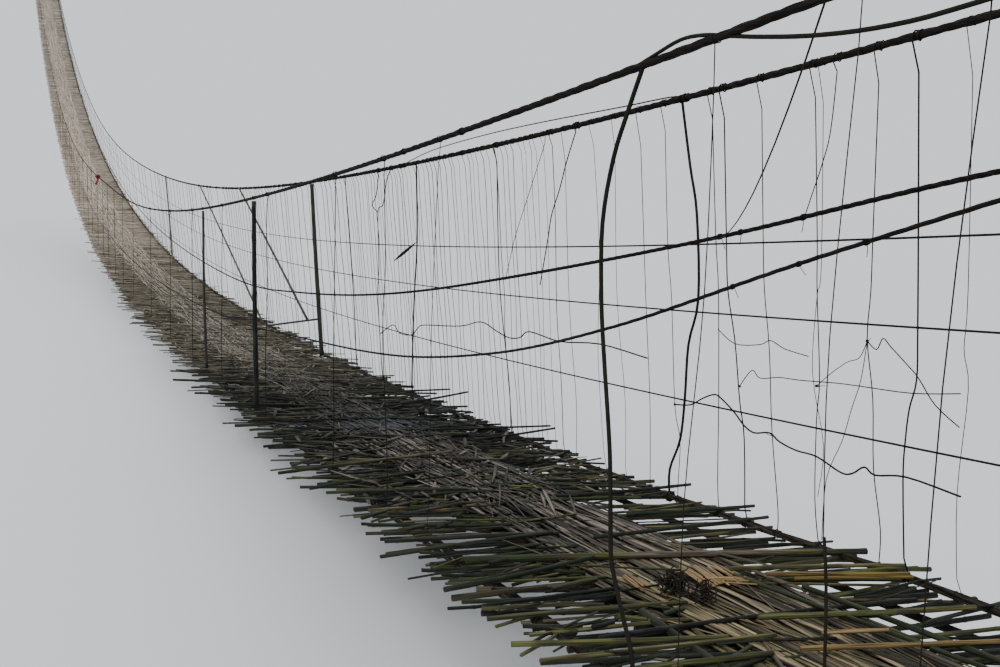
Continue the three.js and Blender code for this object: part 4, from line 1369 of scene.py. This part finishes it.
class FOOTBRIDGE_OT_cross_poles(Operator):
    """Lays the bamboo cross poles of the walkway, and the sticks that lie over them"""

    bl_idname = "footbridge.cross_poles"
    bl_label = "Cross Poles"

    def execute(self, context):
        walkway = context.scene.footbridge_walkway
        bamboo = material_of(weathered_bamboo, context.scene.footbridge_finish)
        length, radius, pitch = walkway.pole_length, walkway.pole_radius, walkway.pole_pitch
        tree = cross_pole_tree()
        # How many of each kind, then the length, the radius, the sides and the distance between joints
        pieces = picked_from(random.Random(11), bamboo_pole, {
            "fine": (10, length, radius, 6, 0.33),
            "medium": (8, length, radius, 5, 0.5),
            "plain": (8, length, 1.2 * radius, 4, 1.6),
            "short": (8, 0.4 * length, 0.8 * radius, 5, 0.45),
            "twig": (8, 0.35 * length, 0.45 * radius, 4, 0.6),
            "stub": (8, 0.13 * length, 0.75 * radius, 4, 0.2),
            "bed": (6, 0.42 * length, 2.2 * radius, 4, 3),
        })
        usual = {
            "Along Spread": 0.6 * pitch, "Across Spread": 0.1, "Lift Low": -0.046, "Lift High": -0.012,
            "Turn Spread": 0.09, "Length Low": 0.88, "Length High": 1.08, "Width Low": 0.55,
            "Width High": 1.5, "Tilt Spread": 0.008, "Clump": 0.3,
        }
        nearest = {**usual, "Turn Spread": 0.13}
        askew = {
            **usual, "Turn Spread": 0.22, "Length Low": 0.62, "Across Spread": 0.2, "Clump": 0.7,
            "Clump Rate": 1.4,
        }
        over = {
            **usual, "Across Spread": 0.2, "Lift Low": -0.01, "Lift High": 0.012, "Turn Spread": 0.14,
            "Length Low": 0.7, "Length High": 1.12, "Width High": 1.1, "Tilt Spread": 0.012,
        }
        tidy = {
            **usual, "Across Spread": 0.06, "Turn Spread": 0.05, "Length Low": 0.94, "Length High": 1.03,
            "Width Low": 0.9,
        }
        low = {**tidy, "Lift High": -0.03}
        bed = {
            **usual, "Centre": 0.05, "Along Spread": 0.01, "Across Spread": 0.04, "Lift Low": -0.085,
            "Lift High": -0.075, "Turn Spread": 0.02, "Width Low": 1.0, "Width High": 1.2, "Clump": 0.0,
            "Tone High": 0.4,
        }
        far_bed = {**bed, "Lift Low": -0.06, "Lift High": -0.05}
        left_ends = {
            **usual, "Centre": 0.8, "Across Spread": 0.16, "Lift Low": -0.03, "Lift High": 0.022,
            "Turn Spread": 0.3, "Length Low": 0.5, "Length High": 1.15, "Clump": 0.6, "Clump Rate": 1.1,
        }
        right_ends = {**left_ends, "Centre": -0.8}
        litter = {
            **usual, "Across Spread": 0.85, "Lift Low": 0.006, "Lift High": 0.026, "Turn Spread": 0.4,
            "Length Low": 0.4, "Length High": 1.3, "Width Low": 0.6, "Width High": 1.5, "Clump": 0.6,
        }
        mess = {
            **litter, "Across Spread": 0.95, "Turn Spread": 0.7, "Length High": 1.0, "Lift Low": -0.02,
        }
        left_mess = {**mess, "Centre": 0.75, "Across Spread": 0.35}

        def rows(name, layers):
            """Each layer is (kind, start, end, distance from one piece to the next, sizes)."""
            return [{
                **sizes, "Pieces": pieces[kind], "Start": start, "Pitch": step,
                "Count": int((end - start) / step), "Seed": 20 * number + len(name), "Material": bamboo,
            } for number, (kind, start, end, step, sizes) in enumerate(layers)]

        near = (
            ("bed", -0.08, NEAR_END, 0.035, bed),
            ("fine", -0.08, 4.5, 1.3 * pitch, nearest),
            ("fine", 4.5, 11, pitch, askew),
            ("fine", 0.5, 4.5, 0.45, over),
            ("medium", 4.5, NEAR_END, 0.24, over),
            ("medium", 11, NEAR_END, pitch, askew),
        )
        far = (
            ("medium", NEAR_END, MIDDLE_END, pitch, tidy),
            ("plain", NEAR_END, MIDDLE_END, 0.1, low),
            ("plain", MIDDLE_END, SPAN - 0.05, 0.047, tidy),
            ("bed", NEAR_END, SPAN - 0.3, 0.045, far_bed),
        )
        loose = (
            ("short", 0.6, NEAR_END, 0.13, left_ends),
            ("short", 0.6, NEAR_END, 0.13, right_ends),
            ("short", NEAR_END, MIDDLE_END, 0.3, left_ends),
            ("short", NEAR_END, MIDDLE_END, 0.3, right_ends),
            ("stub", 0.8, 5, 0.025, left_mess),
            ("twig", 0.5, 4.5, 0.12, litter),
            ("twig", 4.5, 7, 0.04, mess),
            ("stub", 4.5, 13, 0.02, mess),
            ("twig", 7, 13, 0.03, mess),
            ("short", 6, 13, 0.07, mess),
            ("twig", 13, NEAR_END, 0.04, mess),
        )
        for name, layers, sections in (("cross_poles_near", near, range(1, 3)),
                                       ("cross_poles_far", far, range(3, 9)),
                                       ("loose_sticks", loose, ())):
            nodes = [f"deck_section_{number}" for number in sections]
            lay(name, tree, rows(name, layers), "bamboo_poles", nodes)
        for collection in pieces.values():
            drop(collection)
        return {"FINISHED"}


class FOOTBRIDGE_OT_matting(Operator):
    """Lays the split bamboo matting along the middle of the walkway"""

    bl_idname = "footbridge.matting"
    bl_label = "Split Bamboo Matting"

    def execute(self, context):
        walkway = context.scene.footbridge_walkway
        bamboo = material_of(fibrous_bamboo, context.scene.footbridge_finish)
        length, width = walkway.strip_length, walkway.strip_width
        tree = matting_tree()
        # How many of each kind, then the length, the width, the thickness and the steps along
        pieces = picked_from(random.Random(23), split_strip, {
            "broad": (12, length, 1.25 * width, 0.003, 7),
            "fine": (10, length, 0.85 * width, 0.003, 7),
            "short": (10, 0.3 * length, 0.7 * width, 0.003, 3),
            "chip": (10, 0.2 * length, 1.4 * width, 0.004, 2),
            "thin": (8, 0.8 * length, 1.1 * width, 0.004, 3),
            "coarse": (8, 1.3 * length, 1.6 * width, 0.004, 3),
        })
        under = {
            "Across Spread": 0.03, "Lift Low": -0.004, "Lift High": 0.008, "Turn Spread": 0.045,
            "Length Low": 0.6, "Length High": 1.15, "Width Low": 0.55, "Width High": 1.25,
            "Tilt Spread": 0.006,
        }
        over = {**under, "Across Spread": 0.07, "Lift Low": 0.006, "Lift High": 0.016, "Turn Spread": 0.08}
        loose = {**over, "Lift Low": 0.01, "Lift High": 0.024, "Turn Spread": 0.5, "Tilt Spread": 0.02}
        short = {**loose, "Across Spread": 0.1, "Length Low": 0.4, "Length High": 1.3, "Lift Low": 0.0}
        straw = {
            **loose, "Left Edge": 1.0, "Right Edge": -1.0, "Across Spread": 0.08, "Lift Low": -0.02,
            "Length Low": 0.3, "Turn Spread": 1.3, "Tone High": 0.75,
        }
        calm = {"Tone Low": 0.2, "Tone High": 0.8}
        far_under, far_over, far_straw = ({**sizes, **calm} for sizes in (under, over, straw))

        def rows(name, layers):
            """Each layer is (kind, start, end, lanes, distance from one row to the next, sizes)."""
            return [{
                **sizes, "Pieces": pieces[kind], "Start": start + 0.5 * step, "Pitch": step,
                "Count": int((end - start) / step) * lanes, "Lanes": lanes, "Along Spread": 0.25 * step,
                "Seed": 31 * number + len(name), "Material": bamboo,
            } for number, (kind, start, end, lanes, step, sizes) in enumerate(layers)]

        near = (
            ("broad", 0.25, 4.4, 26, 1.1, under),
            ("broad", 0.5, 4, 15, 1.2, over),
            ("fine", 0.5, 4, 6, 1.2, over),
            ("fine", 0.5, 4, 2, 1.0, loose),
            ("fine", 4, NEAR_END, 22, 1.1, under),
            ("fine", 4, NEAR_END, 14, 1.2, over),
            ("short", 0.5, 4, 4, 0.4, short),
            ("short", 4, 13, 10, 0.26, short),
            ("short", 13, NEAR_END, 9, 0.3, short),
            ("chip", 4.5, 8, 20, 0.16, straw),
            ("chip", 8, 17, 20, 0.18, straw),
            ("short", 14, NEAR_END, 12, 0.3, straw),
        )
        far = (
            ("thin", NEAR_END, 42, 20, 1.2, far_under),
            ("thin", NEAR_END, 42, 10, 1.4, far_over),
            ("short", NEAR_END, 36, 14, 0.4, far_straw),
            ("coarse", 42, SPAN - 0.8, 18, 1.8, far_under),
            ("coarse", 42, SPAN - 0.8, 10, 2, far_over),
        )
        for name, layers, mats in (("matting_near", near, range(1, 2)), ("matting_far", far, range(2, 5))):
            nodes = [f"walkway_mat_{number}" for number in mats]
            lay(name, tree, rows(name, layers), "split_bamboo", nodes)
        for collection in pieces.values():
            drop(collection)
        return {"FINISHED"}


def run_rope(name, tree, path, sizes, slot, node):
    """Makes one rope or wire along a path, which is given as path_object takes it."""
    settle(grown(name, path_object([path]), tree, sizes), slot, node)


class FOOTBRIDGE_OT_ropes(Operator):
    """Makes the upper cables, hand ropes, side ropes and the ropes under the walkway"""

    bl_idname = "footbridge.ropes"
    bl_label = "Ropes"

    def execute(self, context):
        ropes = context.scene.footbridge_ropes
        finish = context.scene.footbridge_finish
        rope, wire = material_of(twisted_rope, finish), material_of(thin_wire, finish)
        laid, plain = laid_rope_tree(), wire_tree()
        hand_rope_steps = ((12, 0.035), (24, 0.06), (50, 0.15), (SPAN, 0.4))
        side_rope_steps = ((20, 0.2), (SPAN, 0.5))
        for side in SIDES:
            strands = {"Strands": ropes.strands, "Sides": 5, "Relief": ropes.relief, "Material": rope}
            radius = getattr(ropes, f"{side}_cable_radius")
            path = cable_path(side)
            run_rope(f"cable_{side}_rope", laid, (path, 1.0, 0.5, turned(path, 0.3)),
                     {**strands, "Radius": radius}, "dark_rope", f"upper_cable_{side}")
            radius = getattr(ropes, f"{side}_hand_radius")
            path = flared_path(SIGN[side] * HAND_ROPE_Y, lambda x: hand_rope_height(side, x), radius,
                               hand_rope_steps)
            run_rope(f"hand_{side}_rope", laid, (path, 1.0, 0.5, turned(path, 0.2)),
                     {**strands, "Radius": radius}, "dark_rope", f"hand_rope_{side}")
            run_rope(f"deck_{side}_rope", plain, (deck_rope_path(side), DECK_ROPE_RADIUS, 0.5),
                     {"Sides": 6, "Material": rope}, "dark_rope", f"deck_rope_{side}")
        radius = ropes.side_rope_radius
        for level, (height, across) in SIDE_ROPES.items():
            path = flared_path(across, lambda x: deck_height(x) + height, radius, side_rope_steps)
            run_rope(f"side_wire_{level}", plain, (path, radius, 0.5),
                     {"Sides": 5, "Material": wire}, "dark_wire", f"side_rope_{level}")
        return {"FINISHED"}


class FOOTBRIDGE_OT_nets(Operator):
    """Hangs the nets between the upper cables and the bundles along the walkway's edges"""

    bl_idname = "footbridge.nets"
    bl_label = "Hanger Nets"

    def execute(self, context):
        finish = context.scene.footbridge_finish
        wire, cane = material_of(thin_wire, finish), material_of(brown_cane, finish)
        plain, laid = wire_tree(), laid_rope_tree()
        for side in SIDES:
            rng = random.Random(37 + SIGN[side])
            paths = [(net_wire(side, radius, spots), radius, rng.random())
                     for radius, spots in NET_WIRES[side]]
            if side == "left":
                paths.append((cross_wire_path(), CROSS_WIRE[2], 0.5))
            x, rows = NET_ROWS[side]
            for end, pitch, thin, thick in rows:
                while x < end:
                    radius = rng.uniform(thin, thick)
                    bends, steps, loops = (6, 3, 1.6) if x < BENT_WIRE_END else (3, 1, 0)
                    path = plain_wire(rng, side, x, radius, bends, steps, loops)
                    paths.append((path, radius, rng.random()))
                    x += pitch * rng.uniform(0.6, 1.4)
            wires = grown(f"net_{side}", path_object(paths), plain, {"Sides": 5, "Material": wire})
            steps = ((25, 0.08), (SPAN, 0.2))
            path = [edge_place(side, x) for x in stretch_steps(0.35, SPAN - 0.4, steps)]
            canes = grown(f"edge_{side}", path_object([(path, 1.0, 0.5, turned(path, 2.1))]), laid, {
                "Radius": EDGE_RADIUS[side], "Strands": 4, "Sides": 4, "Relief": 0.55, "Material": cane,
            })
            nodes = [f"hanger_net_{side}_{number}" for number in range(1, 5)]
            settle(joined(f"net_{side}", [wires, canes]), "dark_wire", *nodes)
        return {"FINISHED"}


class FOOTBRIDGE_OT_props(Operator):
    """Sets the spreader posts, the slanting braces and the tie pole"""

    bl_idname = "footbridge.props"
    bl_label = "Posts and Braces"

    def execute(self, context):
        bamboo = material_of(weathered_bamboo, context.scene.footbridge_finish)
        rng = random.Random(5)
        low, high = tie_pole_ends()
        on_tie_pole = low.lerp(high, (BRACE_FOOT_PLACES[0] - low.x) / (high.x - low.x))
        feet = [
            on_tie_pole + Vector((0, 0, TIE_POLE_RADIUS)),
            on_deck(BRACE_FOOT_PLACES[1], PROP_FOOT_Y["right"], BRACE_RADIUS),
        ]
        heads = [Vector((x, BRACE_HEAD_Y, cable_height("right", x))) for x in BRACE_HEAD_PLACES]
        poles = []
        for side in SIDES:
            for number, (x, radius) in enumerate(SPREADERS[side], 1):
                poles.append((f"spreader_{side}_{number}", *spreader_ends(side, x), radius,
                              f"spreader_post_{side}_{number}"))
        poles.extend((
            ("brace_1", feet[0], heads[0], BRACE_RADIUS, "brace_right_1"),
            ("tie_pole", low, high, TIE_POLE_RADIUS),
            ("brace_2", feet[1], heads[1], BRACE_RADIUS, "brace_right_2"),
        ))
        for name, foot, head, radius, *nodes in poles:
            settle(self.pole(rng, foot, head, radius).piece(name, bamboo), "bamboo_poles", *nodes)
        return {"FINISHED"}

    def pole(self, rng, foot, head, radius):
        """A pole that bows a little, thinner to its head, with an uneven surface."""
        draft = Draft()
        steps = 30
        bend = [rng.uniform(-0.012, 0.012) for _ in range(2)]
        centres = []
        for step, place in enumerate(along_line(foot, head, steps)):
            sway = math.sin(math.pi * step / steps)
            centres.append(place + Vector((bend[0] * sway, bend[1] * sway, 0)))
        seed = rng.uniform(0, 50)

        def size(share, angle):
            uneven = 1 + 0.12 * rough(*round_place(angle, 2, share * 14 + seed))
            return radius * (1.0 - 0.18 * share) * uneven

        draft.tube(centres, size, 12, tint=rng.uniform(0.1, 0.4), up=(1, 0, 0), seed=seed)
        return draft


class FOOTBRIDGE_OT_portals(Operator):
    """Builds the log portals, sills and anchor logs at both ends"""

    bl_idname = "footbridge.portals"
    bl_label = "Portals and Anchors"

    def execute(self, context):
        wood = material_of(cracked_log, context.scene.footbridge_finish)
        for end, x, base, outward in ENDS:
            left, right = (beam_height(side, x) for side in SIDES)
            rise = (left - right) / (CABLE_Y["left"] - CABLE_Y["right"])

            def beam_at(y):
                return left + rise * (y - CABLE_Y["left"])

            half = BEAM_HALF_LENGTH * math.cos(math.atan(rise))
            beam = [Vector((x, y, beam_at(y))) for y in (-half, half)]
            logs = [(f"{end}_beam_log", *beam, (BEAM_RADIUS, BEAM_RADIUS), 3.1, f"{end}_head_beam")]
            for side in SIDES:
                y = SIGN[side] * POST_Y
                top = beam_at(y) - BEAM_RADIUS - 2 * SEAT_GAP - abs(rise) * POST_RADIUS[1]
                post = [Vector((x, y, height)) for height in (base, top)]
                logs.append((f"{end}_post_log_{side}", *post, POST_RADIUS, 7.7 + SIGN[side],
                             f"{end}_post_{side}"))
            anchor = [Vector((x + outward * ANCHOR_DISTANCE, y, base + ANCHOR_RADIUS))
                      for y in (-ANCHOR_HALF_LENGTH, ANCHOR_HALF_LENGTH)]
            logs.append((f"{end}_anchor", *anchor, (ANCHOR_RADIUS, ANCHOR_RADIUS), 12.9, f"{end}_anchor_log"))
            for name, start, stop, radii, seed, node in logs:
                settle(self.log(start, stop, radii, seed).piece(name, wood), "weathered_log", node)
            lean = LEAN_AT_SILL if end == "near" else 0
            settle(self.sill(x, base, lean).piece(f"{end}_sill_log", wood), "weathered_log", f"{end}_sill",
                   smooth=False)
        return {"FINISHED"}

    def log(self, start, stop, radii, seed):
        """A log with shallow grooves along it, a few knots and worn ends."""
        draft = Draft()
        rings = 60

        def size(share, angle):
            place = round_place(angle, 1.2, share * 3 + seed)
            groove = abs(rough(*round_place(angle, 5, share * 2 + seed)))
            knot = max(0.0, rough(*(place * 2.6)) - 0.35)
            wear = 0.985 - 0.05 * groove + 0.02 * rough(*place) + 0.12 * knot
            at_end = min(share, 1 - share) * rings < 0.5
            return mix(*radii, share) * wear * (0.95 if at_end else 1)

        draft.tube(along_line(start, stop, rings), size, 28, up=(1, 0, 0), seed=seed)
        return draft

    def sill(self, x, base, lean):
        """A squared log across the walkway, chopped flat, whose top leans as the walkway does."""
        draft = Draft()
        rings = 48
        right_half = [(SILL_FOOT_HALF, 0), (SILL_FOOT_HALF, 0.08), (SILL_FOOT_HALF, 0.155), (0.12, 0.205),
                      (0.088, SILL_HEIGHT), (0.03, SILL_HEIGHT)]
        left_half = [(-across, up) for across, up in reversed(right_half)]
        section = [left_half[-1], (-0.05, 0), (0.05, 0), *right_half, *left_half[:-1]]
        for ring in range(rings + 1):
            y = mix(-SILL_HALF_LENGTH, SILL_HALF_LENGTH, ring / rings)
            for across, up in section:
                chop = 0.006 * rough(across * 9, up * 9, y * 4)
                top = up > SILL_HEIGHT / 2
                height = up + (lean * y if top else 0) - (abs(chop) if top else 0)
                inward = math.copysign(abs(chop), -across) if 0 < up else 0
                draft.point((x + across + inward, y, base + height), (across, up, y + 5))
        draft.skin(0, rings + 1, len(section), -1)
        return draft


class FOOTBRIDGE_OT_single_pieces(Operator):
    """Lays the single poles, the tangle of fibres and the stick that the photo shows"""

    bl_idname = "footbridge.single_pieces"
    bl_label = "Single Poles and Fibres"

    def execute(self, context):
        finish = context.scene.footbridge_finish
        bamboo, fresh = material_of(weathered_bamboo, finish), material_of(fresh_bamboo, finish)
        cane = material_of(brown_cane, finish)
        rng = random.Random(83)
        settle(self.poles(rng, SINGLE_POLES).piece("single_poles", bamboo), "bamboo_poles")
        settle(self.poles(rng, FRESH_POLES).piece("fresh_poles", fresh), "split_bamboo")
        settle(self.strips(rng).piece("fresh_strips", fresh), "split_bamboo")
        settle(self.stick().piece("rope_stick", bamboo), "bamboo_poles")
        source = path_object([path for clump in CLUMPS for path in self.fibres(rng, *clump)])
        settle(grown("fibre_tangle", source, wire_tree(), {"Sides": 4, "Material": cane}), "dark_rope")
        return {"FINISHED"}

    def poles(self, rng, places):
        draft = Draft()
        for start, stop, radius, tone in places:
            ends = [Vector((x, y, deck_top(x, y) + lift + radius)) for x, y, lift in (start, stop)]
            steps = max(int((ends[1] - ends[0]).length / 0.06), 3)
            joint = rng.randint(4, 6)
            sway = rng.uniform(-0.02, 0.02)
            stops = tone if isinstance(tone, tuple) else (tone, tone)
            centres, sizes, tones = [], [], []
            for step, place in enumerate(along_line(*ends, steps)):
                share = step / steps
                centres.append(place + Vector((sway * math.sin(math.pi * share), 0, 0)))
                sizes.append(radius * (1.12 if step % joint == 2 else 1) * (1.05 - 0.15 * share))
                along = share * (len(stops) - 1)
                at = min(int(along), len(stops) - 2)
                tones.append(mix(stops[at], stops[at + 1], along - at))
            draft.tube(centres, sizes, 10, tint=tones, up=(1, 0, 0), seed=rng.uniform(0, 40))
        return draft

    def strips(self, rng):
        draft = Draft()
        for start, stop, (ahead, aside), count in FRESH_STRIPS:
            for number in range(count):
                ends = []
                for x, y in (start, stop):
                    place = Vector((x + number * ahead + rng.uniform(-0.035, 0.035),
                                    y + number * aside + rng.uniform(-0.012, 0.012), 0))
                    ends.append(on_deck(place.x, place.y, rng.uniform(0.026, 0.036)))
                width = STRIP_HALF_WIDTH * rng.uniform(0.7, 1.1)
                middle = ends[0].lerp(ends[1], 0.5) + Vector((0, 0, rng.uniform(-0.002, 0.006)))

                def flat(_, angle):
                    return 1 / math.hypot(math.cos(angle) / width, math.sin(angle) / STRIP_HALF_THICKNESS)

                draft.tube([ends[0], middle, ends[1]], flat, 8, tint=rng.uniform(0.45, 1.0),
                           seed=rng.uniform(0, 40))
        return draft

    def stick(self):
        """The flat stick caught on the high side rope."""
        draft = Draft()
        centres = along_line(*(net_place("right", *place) for place in ROPE_STICK), 8)
        draft.tube(centres, lambda share, _: 0.004 + 0.014 * math.sin(math.pi * share), 8, tint=0.05, seed=3)
        return draft

    def fibres(self, rng, x, y, count):
        """Fibres that start close together and wander off, each in short steps."""
        paths = []
        for _ in range(count):
            turn = rng.uniform(0, math.tau)
            place = Vector((x + rng.gauss(0, 0.03), y + rng.gauss(0, 0.014), 0))
            place.z = deck_top(place.x, place.y) + rng.uniform(0.02, 0.08)
            way = round_place(turn, 1, rng.uniform(-0.2, 0.8))
            points = [place]
            for _ in range(6):
                way = (way + 0.8 * Vector([rng.uniform(-1, 1) for _ in range(3)])).normalized()
                place = place + 0.014 * way
                place.z = max(place.z, deck_top(place.x, place.y) + 0.012)
                points.append(place)
            paths.append((smooth(points, 2), rng.uniform(0.0016, 0.0042), rng.random()))
        return paths


class FOOTBRIDGE_OT_lashings(Operator):
    """Ties the hangers, posts and edges with turns of thin rope"""

    bl_idname = "footbridge.lashings"
    bl_label = "Lashings and Knots"

    def execute(self, context):
        finish = context.scene.footbridge_finish
        rope, cane, wire = (material_of(maker, finish) for maker in (twisted_rope, brown_cane, thin_wire))
        rng = random.Random(71)
        tree = lashing_tree()
        # The numbers are the sizes that coil takes
        knots = (
            ("cable_knots", self.cable_spots, rope, (3, 4, 9, 1.03, 0.16, 1.6)),
            ("hand_rope_knots", self.hand_rope_spots, rope, (3, 4, 8, 1.1, 0.25, 1.8, 1)),
            ("edge_lashings", self.edge_spots, cane, (3, 4, 8, 0.02, 0.0035, 0.03)),
            ("net_knots", self.net_spots, wire, (2.5, 4, 8, 0.008, 0.0025, 0.012, 1)),
        )
        for name, find_spots, material, sizes in knots:
            spots = find_spots(rng)
            self.tie(tree, name, spots, material, [coil(rng, *sizes) for _ in range(4)], "dark_rope")
        cloth = [self.cable_spot("left", CLOTH_PLACE, 2.4, 0)]
        folds = [coil(rng, 2.5, 6, 8, 1.3, 0.9, 3.5, 2)]
        self.tie(tree, "cloth_scrap", cloth, material_of(red_cloth, finish), folds, None)
        return {"FINISHED"}

    def tie(self, tree, name, spots, material, meshes, slot):
        pieces = prototypes(name, meshes)
        sizes = {"Pieces": pieces, "Seed": len(spots), "Material": material}
        settle(grown(name, spot_object(spots), tree, sizes), slot)
        drop(pieces)

    def cable_spot(self, side, x, size, roll):
        """A spot on a cable for a coil that is 1 in radius."""
        ahead = Vector((1, 0, cable_height(side, x + 0.5) - cable_height(side, x - 0.5)))
        reach = size * CABLE_RADIUS[side]
        return (x, CABLE_Y[side], cable_height(side, x)), ahead, reach, reach, roll

    def cable_spots(self, rng):
        spots = []
        for side in SIDES:
            for x in (*CABLE_KNOTS[side], *(place for place, _ in SPREADERS[side])):
                spots.append(self.cable_spot(side, x, rng.uniform(1.05, 1.15), rng.uniform(-0.5, 0.5)))
        return spots

    def hand_rope_spots(self, rng):
        spots = []
        for side in SIDES:
            reach = HAND_ROPE_RADIUS[side]
            for x in HAND_ROPE_KNOTS[side]:
                place = (x, SIGN[side] * HAND_ROPE_Y, hand_rope_height(side, x))
                ahead = (1, 0, 5 * (hand_rope_height(side, x + 0.1) - hand_rope_height(side, x - 0.1)))
                spots.append((place, ahead, reach, reach, rng.uniform(-0.5, 0.5)))
        return spots

    def edge_spots(self, rng):
        spots = []
        for side in SIDES:
            x = 0.5
            while x < EDGE_LASHINGS_END:
                ahead = edge_place(side, x + 0.1) - edge_place(side, x - 0.1)
                spots.append((edge_place(side, x), ahead, rng.uniform(0.7, 1.3), 1.0, rng.uniform(0, 6)))
                x += rng.uniform(0.6, 1.4)
        return spots

    def net_spots(self, rng):
        return [(net_place("right", x, height), (0, 0, 1), 1.0, rng.uniform(0.7, 1.0), rng.uniform(0, 6))
                for x, height in NET_KNOTS]


class FOOTBRIDGE_OT_stage(Operator):
    """Lays the pale floor and sets the lights and the camera"""

    bl_idname = "footbridge.stage"
    bl_label = "Stage"

    def execute(self, context):
        scene = context.scene
        stage = scene.footbridge_stage
        corners = ((-1, -1), (1, -1), (1, 1), (-1, 1))
        mesh = bpy.data.meshes.new("floor")
        mesh.from_pydata([(x * FLOOR_REACH, y * FLOOR_REACH, FLOOR_LEVEL) for x, y in corners], [],
                         [(0, 1, 2, 3)])
        mesh.materials.append(material_of(pale_floor, stage))
        new_object("floor", mesh)
        world = bpy.data.worlds.new("studio")
        world.use_nodes = True
        back = world.node_tree.nodes["Background"]
        back.inputs["Color"].default_value = (*stage.sky, 1.0)
        back.inputs["Strength"].default_value = stage.sky_strength
        scene.world = world
        for name, heading, height, strength, breadth in SUNS:
            lamp = bpy.data.lights.new(name, "SUN")
            lamp.energy = strength
            lamp.angle = math.radians(breadth)
            light = new_object(name, lamp)
            light.rotation_euler = Euler((math.radians(90 - height), 0, math.radians(heading)))
        eye = bpy.data.cameras.new("camera")
        eye.sensor_width = SENSOR_WIDTH
        eye.lens = stage.lens
        eye.clip_start, eye.clip_end = CAMERA_CLIP
        camera = new_object("camera", eye)
        camera.location = Vector(CAMERA_PLACE) * METRE
        turn = math.radians(-90 - CAMERA_HEADING)
        camera.rotation_euler = Euler((math.radians(90 + CAMERA_PITCH), 0, turn))
        scene.camera = camera
        return {"FINISHED"}


OPERATORS = (
    FOOTBRIDGE_OT_stage,
    FOOTBRIDGE_OT_portals,
    FOOTBRIDGE_OT_cross_poles,
    FOOTBRIDGE_OT_matting,
    FOOTBRIDGE_OT_ropes,
    FOOTBRIDGE_OT_nets,
    FOOTBRIDGE_OT_props,
    FOOTBRIDGE_OT_single_pieces,
    FOOTBRIDGE_OT_lashings,
)
SETTINGS = {
    "footbridge_walkway": WalkwaySettings,
    "footbridge_ropes": RopeSettings,
    "footbridge_finish": FinishSettings,
    "footbridge_stage": StageSettings,
}


class FOOTBRIDGE_PT_panel(Panel):
    """Lists the settings and pieces of the footbridge"""

    bl_idname = "FOOTBRIDGE_PT_panel"
    bl_label = "Rope Footbridge"
    bl_space_type = "VIEW_3D"
    bl_region_type = "UI"
    bl_category = "Footbridge"

    def draw(self, context):
        layout = self.layout
        for name in SETTINGS:
            group = getattr(context.scene, name)
            box = layout.box()
            for label in group.__annotations__:
                box.prop(group, label)
        for operator in OPERATORS:
            layout.operator(operator.bl_idname)


CLASSES = (*SETTINGS.values(), *OPERATORS, FOOTBRIDGE_PT_panel)


def register():
    for item in CLASSES:
        bpy.utils.register_class(item)
    for label, group in SETTINGS.items():
        setattr(bpy.types.Scene, label, PointerProperty(type=group))


def unregister():
    for label in SETTINGS:
        delattr(bpy.types.Scene, label)
    for item in reversed(CLASSES):
        bpy.utils.unregister_class(item)


def main():
    register()
    for operator in OPERATORS:
        group, label = operator.bl_idname.split(".")
        getattr(getattr(bpy.ops, group), label)()


if __name__ == "__main__":
    main()
